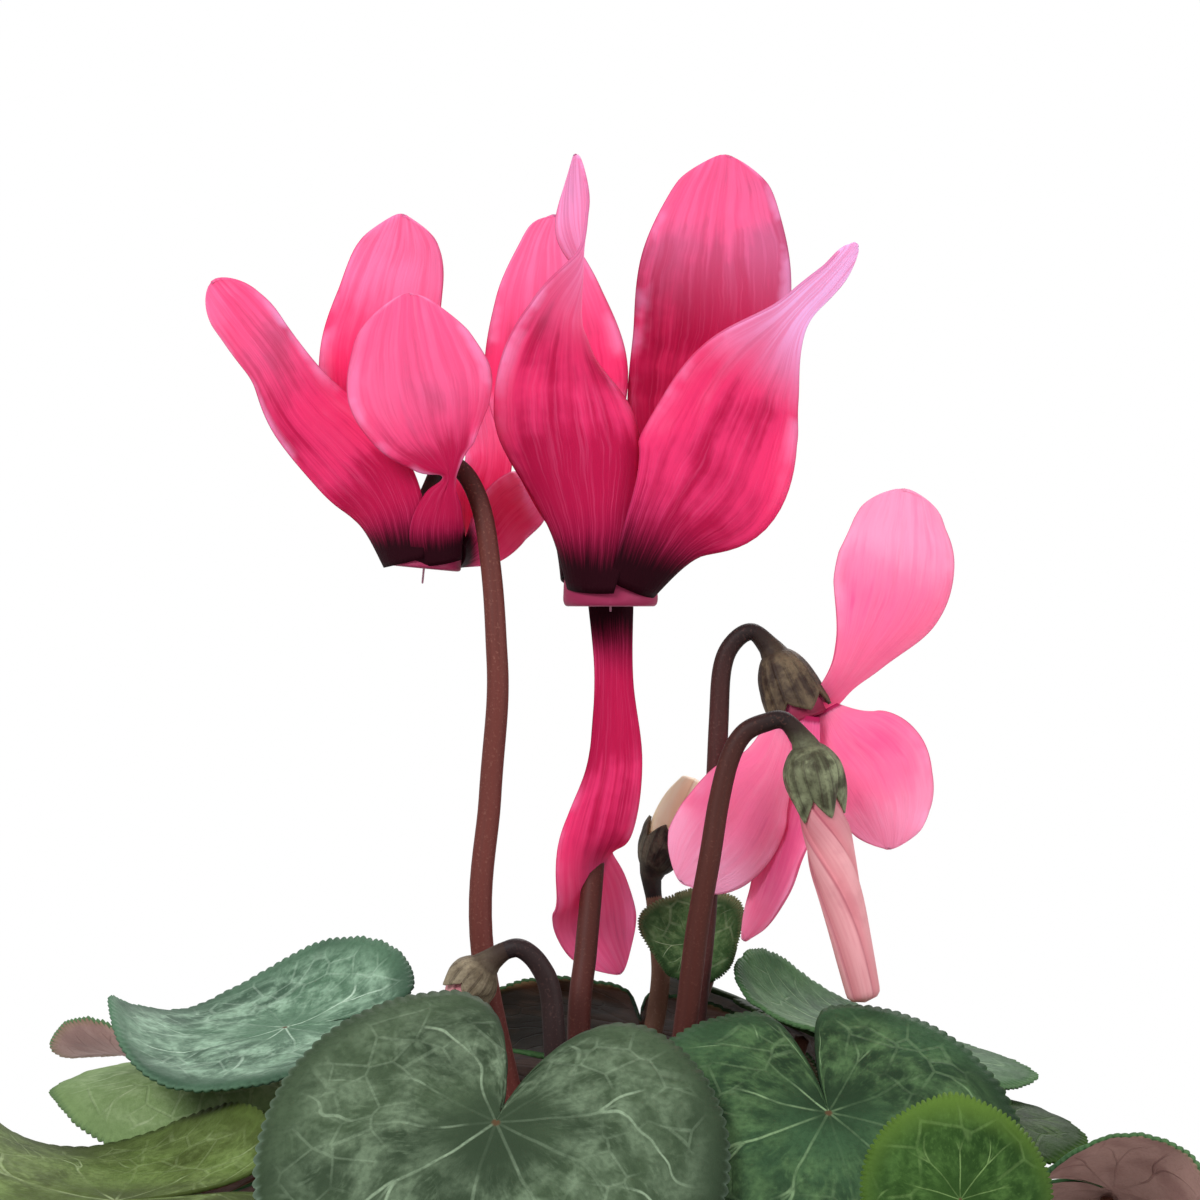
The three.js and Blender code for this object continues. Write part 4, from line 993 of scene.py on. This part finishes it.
petal_finishes = {
    "petal": petal_finish("pink petal", "B4184A", "EE3F7C", "FF7AB2", "FFC6FF", "FF4A98", "24040E"),
    "paler_petal": petal_finish("paler petal", "F06098", "FB82B0", "FFA6CA", "FFCCF2", "FF80B4", "A01C4C"),
}
throat_finishes = {
    "petal": throat_finish("wine throat", "8C1C44", "962A50"),
    "paler_petal": throat_finish("pink throat", "DC6A96", "8C2040"),
}
for name, flower in FLOWERS.items():
    corolla, petal_layer = mapped_shape("petal")
    tone_layer = corolla.loops.layers.float_color.new("tone_and_light")
    mouth = Vector(flower["mouth"])
    for number, (rows, (tone_and_light, tip_glow_share, band)) in enumerate(zip(flower["petals"], flower["tones_and_light"])):
        length = sum(math.dist(a[:3], b[:3]) for a, b in zip(rows, rows[1:]))

        def on_petal(across, t):
            return petal_point(rows, mouth, t, across, number)

        mark = (tone_and_light, length, tip_glow_share, band)
        add_grid(corolla, PETAL_COLUMNS, PETAL_LENGTHS, on_petal, petal_layer, tone_layer, mark)

    def tube_point(turn, along):
        if along < LIP_START:
            radius, height = dome_point(flower, along / LIP_START * 90, -TUBE_WALL / 2)
        else:
            lip = (along - LIP_START) / (1 - LIP_START)
            radius = flower["radius"] - TUBE_WALL / 2 + LIP_RADIUS * math.sin(math.pi * lip) - 0.4 * lip
            height = -flower["collar"] * math.sin(math.pi * lip / 2)
        return on_axis(flower, radius, 2 * math.pi * turn, height)

    for face in add_grid(corolla, TUBE_SIDES, TUBE_LENGTHS, tube_point, petal_layer):
        face.material_index = 1
    slot = flower["finish"]
    finishes = [petal_finishes[slot], throat_finishes[slot]]
    node = f"{name}_flower_petals"
    piece(f"{name}_corolla", corolla, finishes, slot, node, thickness=PETAL_THICKNESS)


# The anthers: a cone of yellow anthers that hangs in each flower's tube, with the one thin pink style
# that stands out of its point and just below the mouth.
STYLE_TIP = -2.6
CONE_SHARES = ((0, 0.36), (0.45, 0.42), (0.85, 0.56), (1, 0.68), (0.85, 0.8), (0.4, 0.95), (0, 0.985))
CONE_WIDTH = 0.36
CONE_SIDES = 30
STYLE_SIDES = 12
ANTHER_COUNT = 5
ANTHER_DEPTH = 0.08
CONE_LENGTHS = 24


def grainy_finish(name, dark, light, scale, rough, strength, distance):
    finish = Finish(name)
    grain = finish.cloud(scale)
    finish.paint(grain.rises(0.35, 0.7), light, dark)
    return finish.end(rough, (grain, strength, distance))


anther_finishes = [
    grainy_finish("anthers", "B98A30", "EBCB6A", 2200.0, 0.8, 0.5, 0.0003),
    grainy_finish("style", "A0607A", "D9A6B6", 1800.0, 0.5, 0.2, 0.0002),
]
for name, flower in FLOWERS.items():
    top = flower["length"] - TUBE_WALL - GAP
    cone = flower["radius"] * CONE_WIDTH
    cone_profile = [(cone * across, top * up) for across, up in CONE_SHARES]
    style_point = [(0, STYLE_TIP), (0.14, STYLE_TIP + 0.1), (0.16, STYLE_TIP + 2)]
    style_profile = [*style_point, (0.3, top * 0.45), (0, top * 0.5)]
    cone_shape = bmesh.new()
    parts = ((cone_profile, CONE_SIDES), (style_profile, STYLE_SIDES))
    for number, (profile, sides) in enumerate(parts):

        def cone_point(turn, along):
            radius, height = smooth_row(profile, along)
            radius = max(radius, 0)
            radius *= 1 + ANTHER_DEPTH * math.cos(2 * math.pi * ANTHER_COUNT * turn) * min(1, radius)
            return on_axis(flower, closed(radius, along), 2 * math.pi * turn, height)

        for face in add_grid(cone_shape, sides, CONE_LENGTHS, cone_point):
            face.material_index = number
    face_outward(cone_shape)
    piece(f"{name}_anthers", cone_shape, anther_finishes, "stamen", f"{name}_flower_stamens")


# The buds: petals still rolled round each other below their calyx, the long one twisted like a furled
# umbrella, the small ones hardly out of their sepals.
BUDS = {
    "twisted_bud": dict(
        mouth=(31.1, -12, 191), axis=(-2.2, 0, 9.6), radius=4.4, length=10.6, body_length=25.5,
        body_radii=(2.4, 3.1, 3.2, 3, 2.8, 2.6, 2.3), twist=230, slot="bud_petal",
    ),
    "small_bud": dict(
        mouth=(-19.3, -14, 167.5), axis=(2.5, 0, 3), radius=3.2, length=5, body_length=3.4,
        body_radii=(2.6, 2.6, 1.8, 0.8), twist=30, slot="bud_petal",
    ),
    "cream_bud": dict(
        mouth=(10.5, 23, 187), axis=(-4.3, 0, -9), radius=3, length=6, body_length=9,
        body_radii=(2.8, 3.4, 3.1, 1.8), twist=60, slot="cream_petal",
    ),
}
BUD_PETALS = 5
BUD_SIDES = 80
BUD_LENGTHS = 64
BUD_TOP_RADIUS = 1.2
BUD_STEP = 0.16
BUD_END = 0.96


def bud_finish(name, pale, body, line):
    finish = Finish(name)
    around, along = finish.flat("bud")
    roll = (around * BUD_PETALS).math("FRACT")
    drift = finish.cloud(70.0, 3.0)
    blotch = finish.cloud(190.0, 4.0)
    streaks = finish.cloud(1.0, 3.0, (around * 40, along * 3.0, drift * 3))
    finish.paint(0.3 + roll.rises(0.0, 0.7) * 0.7, pale, body)
    finish.paint((1 - streaks.rises(0.36, 0.6)) * 0.35, body)
    finish.paint(blotch.rises(0.56, 0.72) * 0.2, line)
    # Painted shade in the grooves where each furled petal laps over the next, on both sides of the step.
    finish.paint(roll.rises(0.9, 0.99) * (0.85 - 0.45 * along), line)
    finish.paint((1 - roll.rises(0.0, 0.06)) * 0.5, line)
    finish.paint((1 - along.rises(0.28, 0.42)) * 0.4, line)
    return finish.end(0.55, (streaks + blotch * 0.5, 0.2, 0.0003), 0.2, pale, 0.2)


bud_finishes = {
    "twisted_bud": bud_finish("salmon bud", "F0AEB4", "DC858F", "A03E56"),
    "small_bud": bud_finish("pink bud", "DCA0A2", "C97482", "8E3C50"),
    "cream_bud": bud_finish("cream bud", "FFF2DA", "FBDDB6", "D4A87E"),
}
for name, bud in BUDS.items():
    radii = [(radius,) for radius in (BUD_TOP_RADIUS, *bud["body_radii"])]

    def bud_point(around, along):
        radius = smooth_row(radii, along)[0]
        step = (around * BUD_PETALS) % 1
        radius *= 1 + BUD_STEP * (step - 0.5) * min(1, 3 * along) * (1.4 - 1.1 * along)
        radius *= round_end(along, BUD_END)
        turn = 2 * math.pi * around + math.radians(bud["twist"]) * (1 - (1 - along) ** 2.4)
        top = bud["length"] - GAP
        return on_axis(bud, closed(radius, along), turn, top - (top + bud["body_length"]) * along)

    bud_shape, bud_layer = mapped_shape("bud")
    add_grid(bud_shape, BUD_SIDES, BUD_LENGTHS, bud_point, bud_layer)
    face_outward(bud_shape)
    piece(f"{name}_roll", bud_shape, [bud_finishes[name]], bud["slot"], f"{name}_petals")


# The flower stalks: round, fleshy and red-brown with fine pale flecks. They rise from the tuber
# between the leaves and hook over at the top, so that each flower hangs by its calyx.
STALK_LOW_RADIUS = 1.75
STALK_HIGH_RADIUS = 1.2
STALK_SIDES = 20
STALK_STEPS = 110
STALK_ROWS = {
    "left_flower": [
        (-5, -2, 100.5), (-9, -4, 135), (-16.5, -6, 172), (-15.5, -6, 194), (-14.4, -7, 208),
        (-14.6, -7, 216.5), (-15.2, -6, 225), (-16.4, -5, 233.5), (-18.2, -4, 238.5), (-20.5, -3, 241),
        (-22.8, -2, 240.5),
    ],
    "centre_flower": [
        (1, 3, 100.5), (-1.5, 0, 130), (-3, -2, 159.5), (-2, 1, 172), (-1, 4, 183), (0, 7, 199),
        (1, 9, 213), (1.5, 10, 223.5), (2, 10, 232), (1.5, 8, 238), (1.5, 4, 240.5), (1.5, 1, 238.5),
    ],
    "twisted_bud": [
        (4.5, -4, 100.5), (8, -7, 132), (12, -10, 163.5), (13.5, -11, 176), (15.2, -12, 186),
        (16.5, -12, 194), (18, -12, 200), (20, -12, 203.5), (23, -12, 205), (25.7, -12, 205.2),
    ],
    "right_flower": [
        (6.5, 3, 100.5), (10, 2, 130), (14.5, 2, 170.5), (15.5, 3, 181.5), (16.6, 4, 193), (17.1, 4, 204),
        (17.6, 4, 212), (19.2, 4, 215.8), (22, 4, 217.4),
    ],
    "small_bud": [
        (-2, -7, 100.5), (-4, -11, 130), (-6, -14, 157.5), (-6.8, -14, 167.5), (-8.4, -14, 171.6),
        (-10.8, -14, 173.8), (-13, -14, 173.6),
    ],
    "cream_bud": [(-2, 6.5, 100.5), (1.6, 11, 130), (8.4, 20, 160), (8.8, 22, 171)],
}
SOLID_CALYX_THICKNESS = 0.8
STALK_SEAT = 0.6


def stalk_line(name, dome):
    """The rows of a stalk, with its end on the top of the flower's or bud's dome."""
    reach = dome["length"] + GAP + STALK_SEAT * SOLID_CALYX_THICKNESS
    end = Vector(dome["mouth"]) + Vector(dome["axis"]).normalized() * reach
    return [*STALK_ROWS[name], tuple(end)]


stalk_finishes = {
    "left_flower": stalk_finish("left flower stalk", "642E28", "2C1412", "946254", 0.95),
    "centre_flower": stalk_finish("centre flower stalk", "4E211B", "2C1416", "7C4E42", 0.8),
    "twisted_bud": stalk_finish("long bud stalk", "4A2019", "180B0B", "6E4238", 0.98),
    "right_flower": stalk_finish("right flower stalk", "4A2422", "1A0D0D", "6E4A44", 0.98),
    "small_bud": stalk_finish("small bud stalk", "281616", "1C1214", "5A3E3A", 0.8),
    "cream_bud": stalk_finish("cream bud stalk", "6A4A3A", "5A4032", "9A7C6A", 0.5),
}
domes = {f"{name}_flower": flower for name, flower in FLOWERS.items()} | BUDS
for name, dome in domes.items():
    stalk_shape, layer = mapped_shape("stalk")
    line = stalk_line(name, dome)
    add_stalk(stalk_shape, line, STALK_LOW_RADIUS, STALK_HIGH_RADIUS, STALK_SIDES, STALK_STEPS, layer)
    face_outward(stalk_shape)
    piece(f"{name}_hooked_stalk", stalk_shape, [stalk_finishes[name]], "flower_stalk", f"{name}_stalk")


# The calyxes: five pointed sepals in one cap, which swells out of the end of each stalk and hugs the
# tube or the bud, olive-brown with dark ribs and pale frayed edges.
CALYX_THICKNESS = 0.5
CALYX_SIDES = 80
CALYX_LENGTHS = 32
SEPAL_COUNT = 5
KEEL_HEIGHT = 0.2
SEPAL_RIPPLE = 0.25
NECK_SHARE = 0.25
NECK_LENGTH = 4.2
NECK_RADIUS = 0.98
NECK_FOOT_RADIUS = 1.6


def calyx_finish(name, ground, light, rib_colour):
    finish = Finish(name + " calyx")
    around, along = finish.flat("calyx")
    low = along.rises(0.25, 0.7)
    rib = abs((around * SEPAL_COUNT * 3).math("FRACT") - 0.5)
    keel = abs((around * SEPAL_COUNT + 0.5).math("FRACT") - 0.5)
    mottle = finish.cloud(420.0, 5.0)
    patch = finish.cloud(170.0, 3.0)
    grain = finish.cloud(2400.0, 2.0)
    finish.paint(mottle.rises(0.36, 0.62), light, ground)
    finish.paint(patch.rises(0.45, 0.6) * 0.5, ground)
    finish.paint(rib.line(0.12) * 0.5 * low, rib_colour)
    finish.paint(keel.line(0.05) * 0.4 * low, light)
    finish.paint(grain.rises(0.45, 0.7) * 0.3, rib_colour)
    finish.paint(1 - along.rises(0.05, 0.5), rib_colour)
    finish.paint(along.rises(0.93, 1.0) * 0.6, light)
    return finish.end(0.65, (rib.line(0.25) * low + mottle * 0.5 + grain * 0.3, 0.6, 0.0004), 0.25)


calyx_finishes = {
    "left_flower": calyx_finish("brown", "2A1814", "4A302A", "1C0E0C"),
    "centre_flower": calyx_finish("wine brown", "2A1814", "4A302A", "1C0E0C"),
    "right_flower": calyx_finish("dark brown", "35261E", "665642", "22120F"),
    "twisted_bud": calyx_finish("olive", "42422F", "868C6C", "24140F"),
    "small_bud": calyx_finish("grey green", "5A4E3C", "8A7E68", "30201A"),
    "cream_bud": calyx_finish("near black", "2A201C", "5E5648", "1A100E"),
}
SEPAL_LOOKS = {
    "left_flower": dict(sepals=38, notch=0.62, tuck=0),
    "centre_flower": dict(sepals=38, notch=0.62, tuck=0),
    "right_flower": dict(sepals=88, notch=0.86, tuck=0.06),
    "twisted_bud": dict(sepals=86, notch=0.8, tuck=0.42),
    "small_bud": dict(sepals=92, notch=0.76, tuck=0.2),
    "cream_bud": dict(sepals=100, notch=0.72, tuck=0.06),
}
for name, dome in domes.items():
    sepal_look = SEPAL_LOOKS[name]
    line = stalk_line(name, dome)
    neck_span = NECK_LENGTH / math.dist(line[-1], line[-2]) / (len(line) - 1)
    axis = Vector(dome["axis"]).normalized()
    dome_start = math.degrees(math.asin(min(1, (NECK_FOOT_RADIUS / dome["radius"]) ** 1.25)))

    def sepal_point(turn, along):
        if along < NECK_SHARE:
            neck = 1 - along / NECK_SHARE
            centre = Vector(smooth_row(line, 1 - neck_span * neck))
            before = Vector(smooth_row(line, 1 - neck_span * neck - SLOPE_STEP))
            bent = Quaternion().slerp(axis.rotation_difference(before - centre), min(1, 1.5 * neck))
            radius = NECK_RADIUS + (NECK_FOOT_RADIUS - NECK_RADIUS) * (1 - neck) ** 2
            ring = on_axis(dome, radius, 2 * math.pi * turn, 0) - Vector(dome["mouth"])
            ring.rotate(bent)
            return centre + ring
        share = (along - NECK_SHARE) / (1 - NECK_SHARE)
        off = abs((turn * SEPAL_COUNT + 0.5) % 1 - 0.5) * 2
        shape_at = sepal_look["notch"] + (1 - sepal_look["notch"]) * (1 - off) ** 0.8
        span = sepal_look["sepals"] * (1 + (shape_at - 1) * share)
        angle = dome_start + share * (span - dome_start)
        keel = KEEL_HEIGHT * bell(off, 0.2) * share
        radius, height = dome_point(dome, min(angle, 89.9), GAP + SOLID_CALYX_THICKNESS / 2 + keel)
        height -= max(0, angle - 89.9) * dome["length"] / 60
        radius *= 1 - sepal_look["tuck"] * max(0, (share - 0.4) / 0.6) ** 1.5
        radius += SEPAL_RIPPLE * noise.noise(Vector((8 * turn, 3 * share, dome["length"]))) * share
        return on_axis(dome, radius, 2 * math.pi * turn, height)

    calyx_shape, calyx_layer = mapped_shape("calyx")
    add_grid(calyx_shape, CALYX_SIDES, CALYX_LENGTHS, sepal_point, calyx_layer)
    face_outward(calyx_shape)
    finishes = [calyx_finishes[name]]
    node = f"{name}_calyx"
    piece(f"{name}_sepals", calyx_shape, finishes, "calyx", node, thickness=CALYX_THICKNESS)


# The studio: a round pale floor that fades into an even white surround, a soft key light from the
# upper left, a weaker one from the right, and the camera level with the flowers' mouths.
FLOOR_RADIUS = 620
FLOOR_SIDES = 128
CAMERA_DISTANCE = 420
CAMERA_HEIGHT = 222
FOCAL_LENGTH = 88.2
SENSOR_WIDTH = 36
SURROUND_LIGHT = 0.56
LAMP_AIM_HEIGHT = 190


def floor_finish():
    finish = Finish("pale floor")
    x, y, _ = finish.parts(finish.place)
    reach = (x * x + y * y).math("SQRT")
    plain = finish.node("ShaderNodeBsdfDiffuse", inputs={"Color": (0.88, 0.88, 0.87, 1)})
    white = finish.node("ShaderNodeEmission", inputs={"Color": (1, 1, 1, 1), "Strength": 1.0})
    fade = reach.rises(0.25, 0.58)
    surface = finish.node("ShaderNodeMixShader", inputs=[fade, plain, white])
    finish.make("ShaderNodeOutputMaterial", inputs={"Surface": surface})
    return finish.material


floor_shape = bmesh.new()
bmesh.ops.create_circle(floor_shape, cap_ends=True, segments=FLOOR_SIDES, radius=FLOOR_RADIUS * MM)
floor = mesh_object("floor", floor_shape, [floor_finish()])

world = bpy.data.worlds.new("white surround")
world.use_nodes = True
surround = world.node_tree.nodes["Background"]
surround.inputs["Color"].default_value = (1, 1, 1, 1)
seen = world.node_tree.nodes.new("ShaderNodeLightPath")
dimmed = world.node_tree.nodes.new("ShaderNodeMapRange")
dimmed.inputs["To Min"].default_value = SURROUND_LIGHT
dimmed.inputs["To Max"].default_value = 1.0
world.node_tree.links.new(seen.outputs["Is Camera Ray"], dimmed.inputs["Value"])
world.node_tree.links.new(dimmed.outputs["Result"], surround.inputs["Strength"])
bpy.context.scene.world = world
bpy.context.scene.view_settings.view_transform = "Standard"

LAMPS = {
    "key light": dict(place=(-0.55, -0.75, 0.85), size=0.45, power=9.5),
    "side light": dict(place=(0.8, -0.5, 0.5), size=0.7, power=4.0),
    "back light": dict(place=(0.15, 0.8, 0.75), size=0.6, power=6.0),
}
for name, lamp in LAMPS.items():
    light = bpy.data.lights.new(name, "AREA")
    light.shape = "DISK"
    light.size = lamp["size"]
    light.energy = lamp["power"]
    holder = scene_object(name, light)
    holder.location = lamp["place"]
    aim = Vector((0, 0, LAMP_AIM_HEIGHT * MM)) - Vector(lamp["place"])
    holder.rotation_mode = "QUATERNION"
    holder.rotation_quaternion = aim.to_track_quat("-Z", "Y")

view = bpy.data.cameras.new("camera")
view.lens = FOCAL_LENGTH
view.sensor_width = SENSOR_WIDTH
camera = scene_object("camera", view)
camera.location = (0, -CAMERA_DISTANCE * MM, CAMERA_HEIGHT * MM)
camera.rotation_euler = (math.radians(90), 0, 0)
bpy.context.scene.camera = camera
